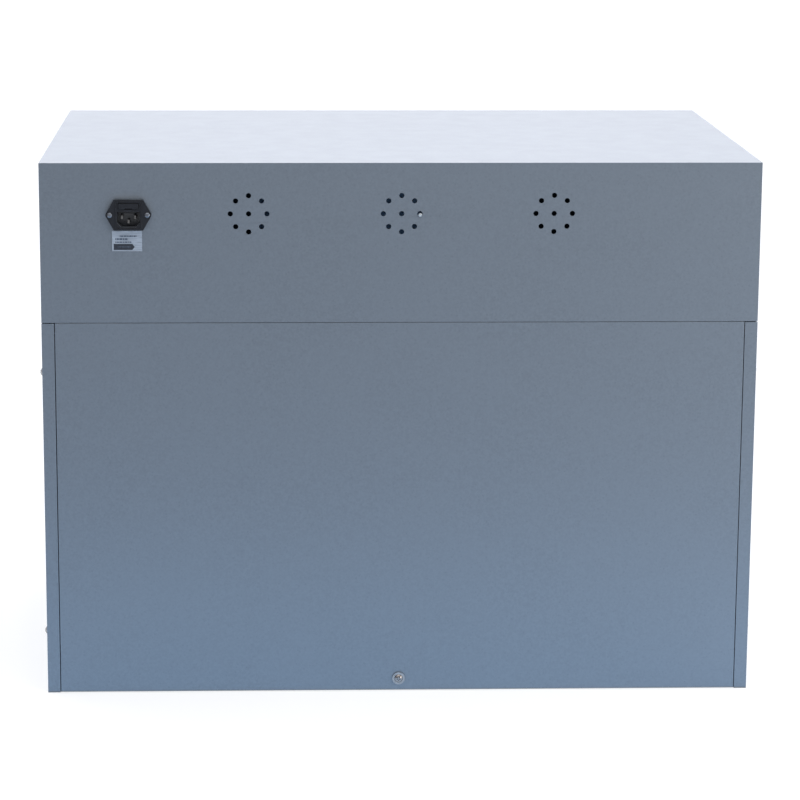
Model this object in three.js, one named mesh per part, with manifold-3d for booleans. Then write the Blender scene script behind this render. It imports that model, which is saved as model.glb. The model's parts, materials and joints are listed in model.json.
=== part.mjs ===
// Counter-top phone charging kiosk: a folded sheet-steel cabinet with eight windowed lockers,
// a control header with a display and a coin acceptor, and a fused mains inlet at the back.
// Millimetres, +Z up. The front faces -Y. The origin is the centre of the base on the surface it stands on.

import * as THREE from 'three';
import { mergeVertices } from 'three/addons/utils/BufferGeometryUtils.js';
import Module from 'manifold-3d';

const wasm = await Module();
wasm.setup();

// ---------------------------------------------------------------- driving dimensions

const WIDTH = 770;
const DEPTH = 500;
const HEIGHT = 585;
const SHEET = 1.5; // steel sheet
const NEST = 0.4; // gap between sheets that lie against each other
const TOUCH = 0.3; // gap under a piece that sits on a face
const SIDE_GAP = 0.8; // gap beside a panel let in between two folded returns
const BITE = 0.5; // overlap that makes two bodies one
const CUT = 1; // how far a cutting tool passes the face it comes out of

const SEAM_Z = 412.5; // joint between the hood and the lower cabinet
const SEAM = 1; // width of the visible joint
const COVER_GAP = 0.5; // the rear cover closes up tighter under the hood
const RETURN = 13.5; // flanges folded round the vertical edges
const TONGUE = 18; // how far the lower panels reach up inside the hood
const SCREW_HOLE_R = 2.8; // clearance hole of a case screw
const THREAD_HOLE_R = 2.4; // hole of a case screw in the piece it threads into

const COLUMNS = 4;
const ROWS = 2;
const MULLION = 14; // bars of the locker front between two doors
const DOOR_GAP = 1.5;
const DOOR_DEPTH = 14; // depth of a folded door pan
const FRAME_DEPTH = 16;
const FRAME_TOP_GAP = 0.6;
const PIVOT_IN = 6; // pivot axis from a door's hinge edge
const PIVOT_BACK = 3.5; // pivot axis behind a door's front face
const LOCKER_DEPTH = 270; // front face to the lockers' back wall

const HEADER_LIP = 14; // hood lip above the service door
const JAMB_DEPTH = 10; // return folded in beside the header opening
const LINTEL_DEPTH = 14; // return folded in above it

const VENT_X = [-163, 0, 163];
const VENT_Z = 530.5;
const VENT_RING_R = 19.5;
const VENT_HOLES = 8;
const VENT_HOLE_R = 2.85;
const INLET_X = 290.5;
const INLET_Z = 529.7;
const INLET_SCREW_X = 20; // screw centres either side of the inlet
const INLET_SCREW_HOLE_R = 1.9;
const INLET_CUTOUT = { halfW: 14, halfH: 15.5 };

// ---------------------------------------------------------------- derived places

const X_OUT = WIDTH / 2;
const Y_FRONT = -DEPTH / 2;
const Y_BACK = DEPTH / 2;
const X_IN = X_OUT - SHEET; // inner face of the outer walls
const X_NEST = X_IN - NEST; // outer face of a sheet nested inside them
const OPENING_X = X_OUT - RETURN; // half width between the folded returns
const HOOD_BOTTOM = SEAM_Z + SEAM / 2;
const LOWER_TOP = SEAM_Z - SEAM / 2;

const FRAME_X = OPENING_X - SIDE_GAP;
const FRAME_Z0 = SHEET + NEST; // the front stands on the base pan
const FRAME_Z1 = LOWER_TOP - FRAME_TOP_GAP;
const STILE = 10; // outer upright bars of the locker front
const BOTTOM_RAIL = 14;
const TOP_RAIL = 16;
const FRAME_BACK = Y_FRONT + FRAME_DEPTH;
const COLUMN_PITCH = (2 * (FRAME_X - STILE) + MULLION) / COLUMNS;
const APERTURE_W = COLUMN_PITCH - MULLION;
const APERTURE_H = (FRAME_Z1 - FRAME_Z0 - BOTTOM_RAIL - TOP_RAIL - MULLION * (ROWS - 1)) / ROWS;
const columnX = (c) => (c - (COLUMNS - 1) / 2) * COLUMN_PITCH;
const rowZ = (r) => FRAME_Z0 + BOTTOM_RAIL + r * (APERTURE_H + MULLION);

const DOOR_W = APERTURE_W - 2 * DOOR_GAP;
const DOOR_H = APERTURE_H - 2 * DOOR_GAP;
const PIVOT_R = 2;
const PIVOT_HOLE_R = 2.5;
const PIVOT_REACH = 4;

const NEST_Y0 = FRAME_BACK + 0.5; // front edges of the shelf and dividers
const NEST_Y1 = Y_BACK - SHEET - NEST; // rear faces of the sheets behind the back skins
const BACK_WALL_Y = Y_FRONT + LOCKER_DEPTH;
const DECK_Z = 398; // underside of the deck over the lockers
const SHELF_Z = rowZ(1) - (MULLION + SHEET) / 2; // underside of the shelf

const LATCH_X0 = 76; // latch rail, from a column's centre line
const LATCH_W = 13.9;
const LATCH_Y1 = -200;
const STRIKE_IN = 5; // strike blade from a door's free edge
const STRIKE_Z = 90; // strike height above a door's lower edge
const STRIKE_REACH = 13;

const SERVICE_X = OPENING_X - DOOR_GAP;
const SERVICE_Z0 = HOOD_BOTTOM;
const SERVICE_Z1 = HEIGHT - HEADER_LIP - DOOR_GAP;
const HEADER_Z = (SERVICE_Z0 + SERVICE_Z1) / 2;
const DISPLAY_X = -170;
const COIN_X = 190;
const LOCK_X = 345;

// ---------------------------------------------------------------- solids

// A three.js geometry as a manifold solid, with its shared corners merged.
function solid(geometry) {
  geometry.deleteAttribute('normal');
  geometry.deleteAttribute('uv');
  const merged = mergeVertices(geometry, 1e-4);
  return new wasm.Manifold(new wasm.Mesh({
    numProp: 3,
    vertProperties: new Float32Array(merged.attributes.position.array),
    triVerts: new Uint32Array(merged.index.array),
  }));
}

// The solid's triangles as flat-shaded three.js geometry.
function geometryOf(body) {
  const mesh = body.getMesh();
  const geometry = new THREE.BufferGeometry();
  geometry.setAttribute('position', new THREE.BufferAttribute(new Float32Array(mesh.vertProperties), 3));
  geometry.setIndex(new THREE.BufferAttribute(new Uint32Array(mesh.triVerts), 1));
  const flat = geometry.toNonIndexed();
  flat.computeVertexNormals();
  return flat;
}

// A box between two opposite corners.
function box(x0, x1, y0, y1, z0, z1) {
  const geometry = new THREE.BoxGeometry(x1 - x0, y1 - y0, z1 - z0);
  geometry.translate((x0 + x1) / 2, (y0 + y1) / 2, (z0 + z1) / 2);
  return solid(geometry);
}

// A round bar along X, Y or Z, from `from` to `to`, centred on (a, b) in the other two axes.
function bar(axis, radius, from, to, a, b, sides = 16) {
  const geometry = new THREE.CylinderGeometry(radius, radius, to - from, sides);
  const middle = (from + to) / 2;
  if (axis === 'x') {
    geometry.rotateZ(-Math.PI / 2);
    geometry.translate(middle, a, b);
  } else if (axis === 'y') {
    geometry.translate(a, middle, b);
  } else {
    geometry.rotateX(Math.PI / 2);
    geometry.translate(a, b, middle);
  }
  return solid(geometry);
}

// A plate in the XZ plane with the given outline, from y0 back to y1.
function plate(shape, y0, y1, curveSegments = 4) {
  const geometry = new THREE.ExtrudeGeometry(shape, { depth: y1 - y0, bevelEnabled: false, curveSegments });
  geometry.rotateX(Math.PI / 2);
  geometry.translate(0, y1, 0);
  return solid(geometry);
}

// A rectangle with round corners, centred on (cx, cz).
function roundedRectangle(cx, cz, w, h, r) {
  const shape = new THREE.Shape();
  const [x0, x1, z0, z1] = [cx - w / 2, cx + w / 2, cz - h / 2, cz + h / 2];
  shape.moveTo(x0 + r, z0);
  shape.lineTo(x1 - r, z0);
  shape.absarc(x1 - r, z0 + r, r, -Math.PI / 2, 0);
  shape.lineTo(x1, z1 - r);
  shape.absarc(x1 - r, z1 - r, r, 0, Math.PI / 2);
  shape.lineTo(x0 + r, z1);
  shape.absarc(x0 + r, z1 - r, r, Math.PI / 2, Math.PI);
  shape.lineTo(x0, z0 + r);
  shape.absarc(x0 + r, z0 + r, r, Math.PI, 1.5 * Math.PI);
  return shape;
}

const joined = (...bodies) => bodies.reduce((a, b) => a.add(b));
const cutFrom = (body, ...tools) => tools.reduce((a, b) => a.subtract(b), body);

// A screw head: a low dome, turned about Z, with its seat at z = 0.
function dome(radius, height, sides = 20, steps = 5) {
  const sphere = (radius * radius + height * height) / (2 * height);
  const sweep = Math.asin(radius / sphere);
  const profile = [new THREE.Vector2(0, 0)];
  for (let i = 0; i <= steps; i++) {
    const angle = sweep * (1 - i / steps);
    const r = i === steps ? 0 : sphere * Math.sin(angle);
    profile.push(new THREE.Vector2(r, sphere * Math.cos(angle) - sphere + height));
  }
  const geometry = new THREE.LatheGeometry(profile, sides);
  geometry.rotateX(Math.PI / 2);
  return solid(geometry);
}

// A tool for a round hole through the back skin and the sheet behind it.
function backHole(radius, x, z, sides = 12) {
  return bar('y', radius, NEST_Y1 - SHEET - CUT, Y_BACK + CUT, x, z, sides);
}

// A tool for a door pivot's hole in the sheet between two heights.
function pivotHole(z0, z1, doorX0) {
  return bar('z', PIVOT_HOLE_R, z0 - CUT, z1 + CUT, doorX0 + PIVOT_IN, Y_FRONT + PIVOT_BACK, 12);
}

// ---------------------------------------------------------------- materials

const material = (name, color, roughness, metalness, extra = {}) =>
  new THREE.MeshStandardMaterial({ name, color, roughness, metalness, ...extra });

const paint = material('silver_grey_powder_coat', 0x8a93a0, 0.55, 0.25);
const doorPaint = material('door_paint', 0x9aa3ae, 0.5, 0.25);
const galvanised = material('galvanised_steel', 0xa9adb0, 0.45, 0.8);
const zinc = material('zinc_screw', 0xc4c6c8, 0.3, 1);
const blackPlastic = material('black_plastic', 0x1b1c1f, 0.45, 0);
const clearPane = material('clear_pane', 0xbfd3dd, 0.1, 0, { transparent: true, opacity: 0.35 });
const screenGlass = material('screen_glass', 0x0d1014, 0.08, 0);
const contactMetal = material('contact_metal', 0xb9bcc0, 0.25, 1);
const labelFilm = material('label_film', 0xb8bec8, 0.4, 0.1);
const boardGreen = material('circuit_board', 0x1f5a3a, 0.5, 0);
const leadSheath = material('lead_sheath', 0x17181a, 0.6, 0);

const kiosk = new THREE.Group();

// Adds a solid to the kiosk as a named mesh at a place.
function part(name, body, look, x = 0, y = 0, z = 0) {
  const mesh = new THREE.Mesh(geometryOf(body), look);
  mesh.name = name;
  mesh.position.set(x, y, z);
  kiosk.add(mesh);
  return mesh;
}

// ---------------------------------------------------------------- casing

// Top and back in one folded sheet with short sides, and a jamb folded in round the header opening.
function topHood() {
  const lintelZ = HEIGHT - HEADER_LIP;
  const shell = cutFrom(
    box(-X_OUT, X_OUT, Y_FRONT, Y_BACK, HOOD_BOTTOM, HEIGHT),
    box(-X_IN, X_IN, Y_FRONT + SHEET, Y_BACK - SHEET, HOOD_BOTTOM - CUT, HEIGHT - SHEET),
    box(-OPENING_X, OPENING_X, Y_FRONT - CUT, Y_FRONT + SHEET + CUT, HOOD_BOTTOM - CUT, lintelZ),
  );
  const jambs = joined(
    box(-X_IN - BITE, X_IN + BITE, Y_FRONT, Y_FRONT + LINTEL_DEPTH, lintelZ, lintelZ + SHEET),
    box(OPENING_X, OPENING_X + SHEET, Y_FRONT, Y_FRONT + JAMB_DEPTH, HOOD_BOTTOM, lintelZ + SHEET),
    box(-OPENING_X - SHEET, -OPENING_X, Y_FRONT, Y_FRONT + JAMB_DEPTH, HOOD_BOTTOM, lintelZ + SHEET),
  );
  const { halfW, halfH } = INLET_CUTOUT;
  const holes = [
    pivotHole(lintelZ, lintelZ + SHEET, -SERVICE_X),
    box(INLET_X - halfW, INLET_X + halfW, Y_BACK - SHEET - CUT, Y_BACK + CUT,
      INLET_Z - halfH, INLET_Z + halfH),
    backHole(INLET_SCREW_HOLE_R, INLET_X - INLET_SCREW_X, INLET_Z, 10),
    backHole(INLET_SCREW_HOLE_R, INLET_X + INLET_SCREW_X, INLET_Z, 10),
  ];
  for (const x of VENT_X) {
    holes.push(backHole(VENT_HOLE_R, x, VENT_Z));
    for (let i = 0; i < VENT_HOLES; i++) {
      const angle = (i / VENT_HOLES) * 2 * Math.PI;
      const [dx, dz] = [VENT_RING_R * Math.cos(angle), VENT_RING_R * Math.sin(angle)];
      holes.push(backHole(VENT_HOLE_R, x + dx, VENT_Z + dz));
    }
  }
  return cutFrom(shell.add(jambs), ...holes);
}

const SIDE_SCREW_Y = Y_BACK - 19;
const SIDE_SCREW_Z = [66, 356];
const REAR_SCREW_Z = 13.9;
const JOGGLE = { z0: LOWER_TOP - 9, z1: LOWER_TOP - 6 }; // step from a lower skin in to its tongue
const TONGUE_Y = Y_BACK - 20; // half length of a side tongue
const POST = { z0: 26, z1: 401, depth: 26, clear: 0.7 };
const UPSTAND = { h: 25, frontIn: 25, backIn: 10, sideIn: 25 }; // upturned edges of the base pan
const COVER = { lift: 0.6, ribDepth: 12, ribZ0: 27, ribZ1: 396, hookX: 355 };

// The X range of a sheet whose faces lie between two distances from the middle, on either side.
const sideways = (side, inner, outer) => (side > 0 ? [inner, outer] : [-outer, -inner]);

// A lower side wall, folded round at the front and back, with a joggled tongue up into the hood.
function sidePanel(side) {
  const wall = sideways(side, X_IN, X_OUT);
  const flange = sideways(side, OPENING_X, X_OUT);
  const tongue = sideways(side, X_NEST - SHEET, X_NEST);
  const joggle = sideways(side, X_NEST - SHEET, X_IN + BITE);
  const sheet = joined(
    box(...wall, Y_FRONT, Y_BACK, 0, LOWER_TOP),
    box(...flange, Y_BACK - SHEET, Y_BACK, 0, LOWER_TOP),
    box(...flange, Y_FRONT, Y_FRONT + SHEET, 0, LOWER_TOP),
    box(...joggle, -TONGUE_Y, TONGUE_Y, JOGGLE.z0, JOGGLE.z1),
    box(...tongue, -TONGUE_Y, TONGUE_Y, JOGGLE.z0, LOWER_TOP + TONGUE),
  );
  const [from, to] = [wall[0] - CUT, wall[1] + CUT];
  return cutFrom(sheet, ...SIDE_SCREW_Z.map((z) => bar('x', SCREW_HOLE_R, from, to, SIDE_SCREW_Y, z, 12)));
}

// Angle post in a rear corner that takes the side screws and stiffens the returns.
function rearPost(side) {
  const leg = sideways(side, X_NEST - SHEET, X_NEST);
  const foot = sideways(side, OPENING_X + POST.clear, X_NEST);
  const post = joined(
    box(...leg, NEST_Y1 - POST.depth, NEST_Y1, POST.z0, POST.z1),
    box(...foot, NEST_Y1 - SHEET, NEST_Y1, POST.z0, POST.z1),
  );
  const [from, to] = [leg[0] - CUT, leg[1] + CUT];
  return cutFrom(post, ...SIDE_SCREW_Z.map((z) => bar('x', THREAD_HOLE_R, from, to, SIDE_SCREW_Y, z, 12)));
}

// Floor of the cabinet with upturned edges inside the side walls and the rear cover.
function basePan() {
  const upstandX = X_OUT - UPSTAND.sideIn;
  const [y0, y1] = [Y_FRONT + UPSTAND.frontIn, Y_BACK - UPSTAND.backIn];
  const pan = joined(
    box(-X_NEST, X_NEST, Y_FRONT + SHEET + NEST, NEST_Y1, 0, SHEET),
    box(...sideways(1, X_NEST - SHEET, X_NEST), y0, y1, 0, UPSTAND.h),
    box(...sideways(-1, X_NEST - SHEET, X_NEST), y0, y1, 0, UPSTAND.h),
    box(-upstandX, upstandX, NEST_Y1 - SHEET, NEST_Y1, 0, UPSTAND.h),
  );
  return cutFrom(pan, backHole(THREAD_HOLE_R, 0, REAR_SCREW_Z));
}

// Lift-out cover of the wiring bay: hooked behind the hood at the top, held by one screw at the bottom.
function rearAccessPanel() {
  const x = OPENING_X - SIDE_GAP;
  const ribY = Y_BACK - COVER.ribDepth;
  const cover = joined(
    box(-x, x, Y_BACK - SHEET, Y_BACK, COVER.lift, HOOD_BOTTOM - COVER_GAP),
    box(...sideways(1, x - SHEET, x), ribY, Y_BACK, COVER.ribZ0, COVER.ribZ1),
    box(...sideways(-1, x - SHEET, x), ribY, Y_BACK, COVER.ribZ0, COVER.ribZ1),
    box(-COVER.hookX, COVER.hookX, NEST_Y1 - SHEET, Y_BACK - BITE, JOGGLE.z0, JOGGLE.z1),
    box(-COVER.hookX, COVER.hookX, NEST_Y1 - SHEET, NEST_Y1, JOGGLE.z0, LOWER_TOP + TONGUE),
  );
  return cutFrom(cover, backHole(SCREW_HOLE_R, 0, REAR_SCREW_Z));
}

// The channels' hollows between neighbouring edges, which run upright or level behind the front skin.
function channelHollows(edges, vertical) {
  const [y0, y1] = [Y_FRONT + SHEET, FRAME_BACK + CUT];
  const hollows = [];
  for (let i = 0; i < edges.length; i += 2) {
    const across = [edges[i] + SHEET, edges[i + 1] - SHEET];
    hollows.push(vertical
      ? box(...across, y0, y1, FRAME_Z0 + SHEET, FRAME_Z1 - SHEET)
      : box(-FRAME_X + SHEET, FRAME_X - SHEET, y0, y1, ...across));
  }
  return hollows;
}

// Pressed front with one aperture for each locker; each bar is a channel open to the back.
function lockerFrontFrame() {
  const edgesX = [-FRAME_X];
  const edgesZ = [FRAME_Z0];
  const holes = [pivotHole(FRAME_Z1 - SHEET, FRAME_Z1, -SERVICE_X)];
  for (let c = 0; c < COLUMNS; c++) edgesX.push(columnX(c) - APERTURE_W / 2, columnX(c) + APERTURE_W / 2);
  for (let r = 0; r < ROWS; r++) edgesZ.push(rowZ(r), rowZ(r) + APERTURE_H);
  for (let c = 0; c < COLUMNS; c++) {
    for (let r = 0; r < ROWS; r++) {
      const x0 = columnX(c) - APERTURE_W / 2;
      const [z0, z1] = [rowZ(r), rowZ(r) + APERTURE_H];
      holes.push(box(x0, x0 + APERTURE_W, Y_FRONT - CUT, FRAME_BACK + CUT, z0, z1));
      holes.push(pivotHole(z0 - SHEET, z0, x0 + DOOR_GAP), pivotHole(z1, z1 + SHEET, x0 + DOOR_GAP));
    }
  }
  return cutFrom(
    box(-FRAME_X, FRAME_X, Y_FRONT, FRAME_BACK, FRAME_Z0, FRAME_Z1),
    ...channelHollows([...edgesX, FRAME_X], true),
    ...channelHollows([...edgesZ, FRAME_Z1], false),
    ...holes);
}

part('top_hood', topHood(), paint);
part('left_side_panel', sidePanel(-1), paint);
part('right_side_panel', sidePanel(1), paint);
part('rear_post_left', rearPost(-1), galvanised);
part('rear_post_right', rearPost(1), galvanised);
part('base_pan', basePan(), paint);
part('rear_access_panel', rearAccessPanel(), paint);
part('locker_front_frame', lockerFrontFrame(), paint);

// ---------------------------------------------------------------- locker nest

const DIVIDER_X = [1, 2, 3].map((i) => (columnX(i - 1) + columnX(i)) / 2);
const HALF_LAP_Y = (NEST_Y0 + BACK_WALL_Y) / 2; // where the shelf's and the dividers' slots meet
const LAP_CLEAR = 0.3;
const NOTCH_CLEAR = 0.6;
const SOCKET_Z = [100, 300];
const NEST_X = X_NEST - SHEET - NEST;
const DECK_Y1 = Y_BACK - 14;
const WIRE_HOLE = { halfW: 30, y0: 180, y1: 215 };
const PORT_CUTOUT = { halfW: 9, halfH: 5.5 };

// Roof of the lockers and floor of the header, with a hole for the low-voltage wiring.
function bayDeck() {
  const { halfW, y0, y1 } = WIRE_HOLE;
  return cutFrom(
    box(-NEST_X, NEST_X, NEST_Y0, DECK_Y1, DECK_Z, DECK_Z + SHEET),
    box(-halfW, halfW, y0, y1, DECK_Z - CUT, DECK_Z + SHEET + CUT),
  );
}

function lockerBackWall() {
  const { halfW, halfH } = PORT_CUTOUT;
  const [y0, y1] = [BACK_WALL_Y - CUT, BACK_WALL_Y + SHEET + CUT];
  const openings = [];
  for (let c = 0; c < COLUMNS; c++) {
    const x = columnX(c);
    for (const z of SOCKET_Z) openings.push(box(x - halfW, x + halfW, y0, y1, z - halfH, z + halfH));
  }
  const wall = box(-NEST_X, NEST_X, BACK_WALL_Y, BACK_WALL_Y + SHEET, SHEET + NEST, DECK_Z - NEST);
  return cutFrom(wall, ...openings);
}

// Shelf slotted from the front for the dividers and notched for the latch rails.
function lockerShelf() {
  const [z0, z1] = [SHELF_Z - CUT, SHELF_Z + SHEET + CUT];
  const half = SHEET / 2 + LAP_CLEAR;
  const slots = DIVIDER_X.map((x) => box(x - half, x + half, NEST_Y0 - CUT, HALF_LAP_Y, z0, z1));
  const notches = [];
  for (let c = 0; c < COLUMNS; c++) {
    const x0 = columnX(c) + LATCH_X0 - NOTCH_CLEAR;
    const x1 = columnX(c) + LATCH_X0 + LATCH_W + NOTCH_CLEAR;
    notches.push(box(x0, x1, NEST_Y0 - CUT, LATCH_Y1 + NOTCH_CLEAR, z0, z1));
  }
  const sheet = box(-NEST_X, NEST_X, NEST_Y0, BACK_WALL_Y - NEST, SHELF_Z, SHELF_Z + SHEET);
  return cutFrom(sheet, ...slots, ...notches);
}

// Full-height divider slotted from the back for the shelf.
function lockerDivider() {
  const [z0, z1] = [SHELF_Z - LAP_CLEAR, SHELF_Z + SHEET + LAP_CLEAR];
  return cutFrom(
    box(-SHEET / 2, SHEET / 2, NEST_Y0, BACK_WALL_Y - NEST, SHEET + NEST, DECK_Z - NEST),
    box(-SHEET, SHEET, HALF_LAP_Y - NOTCH_CLEAR, BACK_WALL_Y + CUT, z0, z1),
  );
}

const RAIL = { z0: 3, z1: DECK_Z - 2, y0: NEST_Y0 + 1 };
const MOUTH = { before: 0.8, after: 2.2, half: 9, y1: -219 }; // slot that a strike swings into
const LATCH_BODY = { half: 20, inset: 0.5, y1: -204 };

// Angle rail beside a column of doors, with a latch body behind it for each door; the door's strike
// swings into the slot through both.
function lockRail() {
  const [x0, x1] = [LATCH_X0, LATCH_X0 + LATCH_W];
  const angle = cutFrom(
    box(x0, x1, RAIL.y0, LATCH_Y1, RAIL.z0, RAIL.z1),
    box(x0 + SHEET, x1 + CUT, RAIL.y0 + SHEET, LATCH_Y1 + CUT, RAIL.z0 - CUT, RAIL.z1 + CUT),
  );
  const strikeX = DOOR_W / 2 - STRIKE_IN;
  const bodies = [];
  const mouths = [];
  for (let r = 0; r < ROWS; r++) {
    const z = rowZ(r) + DOOR_GAP + STRIKE_Z;
    bodies.push(box(x0 + SHEET - BITE, x1 - LATCH_BODY.inset, RAIL.y0 + SHEET - BITE, LATCH_BODY.y1,
      z - LATCH_BODY.half, z + LATCH_BODY.half));
    mouths.push(box(strikeX - MOUTH.before, strikeX + SHEET + MOUTH.after, RAIL.y0 - CUT, MOUTH.y1,
      z - MOUTH.half, z + MOUTH.half));
  }
  return cutFrom(joined(angle, ...bodies), ...mouths);
}

part('bay_deck', bayDeck(), galvanised);
part('locker_back_wall', lockerBackWall(), paint);
part('locker_shelf', lockerShelf(), paint);
DIVIDER_X.forEach((x, i) => part(`locker_divider_${i + 1}`, lockerDivider(), paint, x));
for (let c = 0; c < COLUMNS; c++) part(`lock_rail_${c + 1}`, lockRail(), galvanised, columnX(c));

// ---------------------------------------------------------------- locker doors

const WINDOW = { x: 76, z: DOOR_H / 2, w: 104, h: 126, r: 9 };
const PANE = { margin: 7, r: 3, thick: 3 };
const PULL = { x: 144, w: 6, out: 13, z: DOOR_H / 2, h: 70, nose: 6 };

// A folded pan: a front skin with a lip round all four edges.
function pan(w, h, depth) {
  return cutFrom(
    box(0, w, 0, depth, 0, h),
    box(SHEET, w - SHEET, SHEET, depth + CUT, SHEET, h - SHEET),
  );
}

// Pivot pins standing out of a pan's lower and upper lips near its hinge edge.
function pivotPins(h, reach) {
  return [
    bar('z', PIVOT_R, -reach, SHEET / 2, PIVOT_IN, PIVOT_BACK, 12),
    bar('z', PIVOT_R, h - SHEET / 2, h + reach, PIVOT_IN, PIVOT_BACK, 12),
  ];
}

// Fin to pull a door by, with its two front corners rounded.
function doorPull() {
  const [root, half] = [BITE, PULL.h / 2];
  const shape = new THREE.Shape();
  shape.moveTo(root, -half);
  shape.lineTo(root, half);
  shape.lineTo(PULL.nose - PULL.out, half);
  shape.absarc(PULL.nose - PULL.out, half - PULL.nose, PULL.nose, Math.PI / 2, Math.PI);
  shape.absarc(PULL.nose - PULL.out, PULL.nose - half, PULL.nose, Math.PI, 1.5 * Math.PI);
  const geometry = new THREE.ExtrudeGeometry(shape, { depth: PULL.w, bevelEnabled: false, curveSegments: 5 });
  geometry.rotateY(Math.PI / 2);
  geometry.rotateX(Math.PI / 2);
  geometry.translate(PULL.x, 0, PULL.z);
  return solid(geometry);
}

const STRIKE_HALF = 6;
const STRIKE_EYE = { from: 4, to: 9, half: 3 }; // hole for the latch bolt, from the back of the door

// Folded tab that enters the latch rail, with the hole that the latch bolt takes.
function doorStrike() {
  const x = DOOR_W - STRIKE_IN;
  const height = [STRIKE_Z - STRIKE_HALF, STRIKE_Z + STRIKE_HALF];
  const eye = box(x - CUT, x + SHEET + CUT, DOOR_DEPTH + STRIKE_EYE.from, DOOR_DEPTH + STRIKE_EYE.to,
    STRIKE_Z - STRIKE_EYE.half, STRIKE_Z + STRIKE_EYE.half);
  const root = box(x, DOOR_W - BITE, DOOR_DEPTH - SHEET, DOOR_DEPTH, ...height);
  const blade = box(x, x + SHEET, DOOR_DEPTH - SHEET, DOOR_DEPTH + STRIKE_REACH, ...height);
  return cutFrom(joined(root, blade), eye);
}

// Door pan with its pivots, pull and strike; the corner at the hinge edge's foot is its local origin.
function lockerDoor() {
  const pins = pivotPins(DOOR_H, PIVOT_REACH);
  const whole = joined(pan(DOOR_W, DOOR_H, DOOR_DEPTH), ...pins, doorPull(), doorStrike());
  const hole = roundedRectangle(WINDOW.x, WINDOW.z, WINDOW.w, WINDOW.h, WINDOW.r);
  return whole.subtract(plate(hole, -CUT, SHEET + CUT));
}

function doorWindow() {
  const [w, h] = [WINDOW.w + 2 * PANE.margin, WINDOW.h + 2 * PANE.margin];
  const front = SHEET + TOUCH;
  return plate(roundedRectangle(WINDOW.x, WINDOW.z, w, h, PANE.r), front, front + PANE.thick, 2);
}

// Doors are numbered along the upper row and then along the lower one.
for (let i = 0; i < COLUMNS * ROWS; i++) {
  const column = i % COLUMNS;
  const row = ROWS - 1 - Math.floor(i / COLUMNS);
  const place = [columnX(column) - DOOR_W / 2, Y_FRONT, rowZ(row) + DOOR_GAP];
  part(`locker_door_${i + 1}`, lockerDoor(), doorPaint, ...place);
  part(`door_window_${i + 1}`, doorWindow(), clearPane, ...place);
}

// ---------------------------------------------------------------- service door and what it carries

const DISPLAY = { w: 204, h: 118, proud: 1.5, depth: 3, backW: 236, backH: 138, backDepth: 18 };
const SCREEN_GAP = 0.5; // round the screen inside its bezel
const BEZEL = { w: 240, h: 142, r: 5, thick: 2.5, neckIn: 1 };
const DISPLAY_CUTOUT = { w: 226, h: 130 };
const COIN = { w: 64, h: 127, r: 6, thick: 3, depth: 60, bodyIn: 1 };
const COIN_CUTOUT = { w: 54, h: 112 };
const COIN_SLOT = { x: 12, z: 32, w: 3.6, h: 32, depth: 30 };
const SLOT_BOSS = { w: 14, over: 12, r: 5, proud: 3 };
const CHUTE = { halfW: 15, gap: 6, length: 8, height: 30 }; // behind the return cup
const BUTTON = { x: -13, z: 34, r: 6, proud: 3, length: 8, clear: 0.5, boreDepth: 7 };
const CUP = { w: 44, h: 34, z: -36, depth: 32 };
const FLAP = { sideGap: 0.8, thick: 1.5, above: 1.2, below: 5, pinR: 0.9, pinReach: 1.6 };
const FLAP_AXIS_Z = CUP.z + CUP.h / 2 - 2.2;
const FLAP_AXIS_Y = -1.05;
const PIN_GROOVE = { reach: 2.2, half: 1.6, y: -2.4 };
const LOCK = { holeR: 9.4, clear: 0.4, collarR: 11.5, collarThick: 2.2, boreR: 6.4, length: 10.8 };
const PLUG = { r: 6, front: -2.9, keyHalfW: 0.8, keyHalfH: 3.5, keyDepth: 3.9 };
const CAM = { reach: 33, half: 6, thick: 2, y: 11.7, clearUp: 3, clearFront: 1.5 };

// A box centred on (x, z) in the door's plane, from y0 back to y1.
const upright = (x, z, w, h, y0, y1) => box(x - w / 2, x + w / 2, y0, y1, z - h / 2, z + h / 2);

// Folded front of the header with cut-outs for the display, the coin acceptor and the cam lock.
function serviceDoor() {
  const [w, h] = [2 * SERVICE_X, SERVICE_Z1 - SERVICE_Z0];
  const middle = HEADER_Z - SERVICE_Z0;
  const through = [-CUT, SHEET + CUT];
  const body = joined(pan(w, h, DOOR_DEPTH), ...pivotPins(h, PIVOT_REACH));
  return cutFrom(body,
    upright(DISPLAY_X + SERVICE_X, middle, DISPLAY_CUTOUT.w, DISPLAY_CUTOUT.h, ...through),
    upright(COIN_X + SERVICE_X, middle, COIN_CUTOUT.w, COIN_CUTOUT.h, ...through),
    bar('y', LOCK.holeR, ...through, LOCK_X + SERVICE_X, middle, 24),
    box(w - 2 * SHEET, w + CUT, CAM.y - CAM.clearFront, DOOR_DEPTH + CUT,
      middle - CAM.reach - CAM.clearUp, middle + CAM.half + CAM.clearUp));
}

// Bezel: a flange on the door's face with a neck through the cut-out.
function displayBezel() {
  const flange = plate(roundedRectangle(0, 0, BEZEL.w, BEZEL.h, BEZEL.r), -TOUCH - BEZEL.thick, -TOUCH);
  const [neckW, neckH] = [DISPLAY_CUTOUT.w - 2 * BEZEL.neckIn, DISPLAY_CUTOUT.h - 2 * BEZEL.neckIn];
  const neck = upright(0, 0, neckW, neckH, -TOUCH - BITE, SHEET);
  const opening = upright(0, 0, DISPLAY.w, DISPLAY.h, -TOUCH - BEZEL.thick - CUT, SHEET + CUT);
  return cutFrom(flange.add(neck), opening);
}

// Flat display: the screen stands forward into the bezel from a wider back housing.
function displayModule() {
  return joined(
    upright(0, 0, DISPLAY.w - 2 * SCREEN_GAP, DISPLAY.h - 2 * SCREEN_GAP, -DISPLAY.proud, DISPLAY.depth),
    upright(0, 0, DISPLAY.backW, DISPLAY.backH, SHEET + TOUCH, DISPLAY.backDepth),
  );
}

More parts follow.
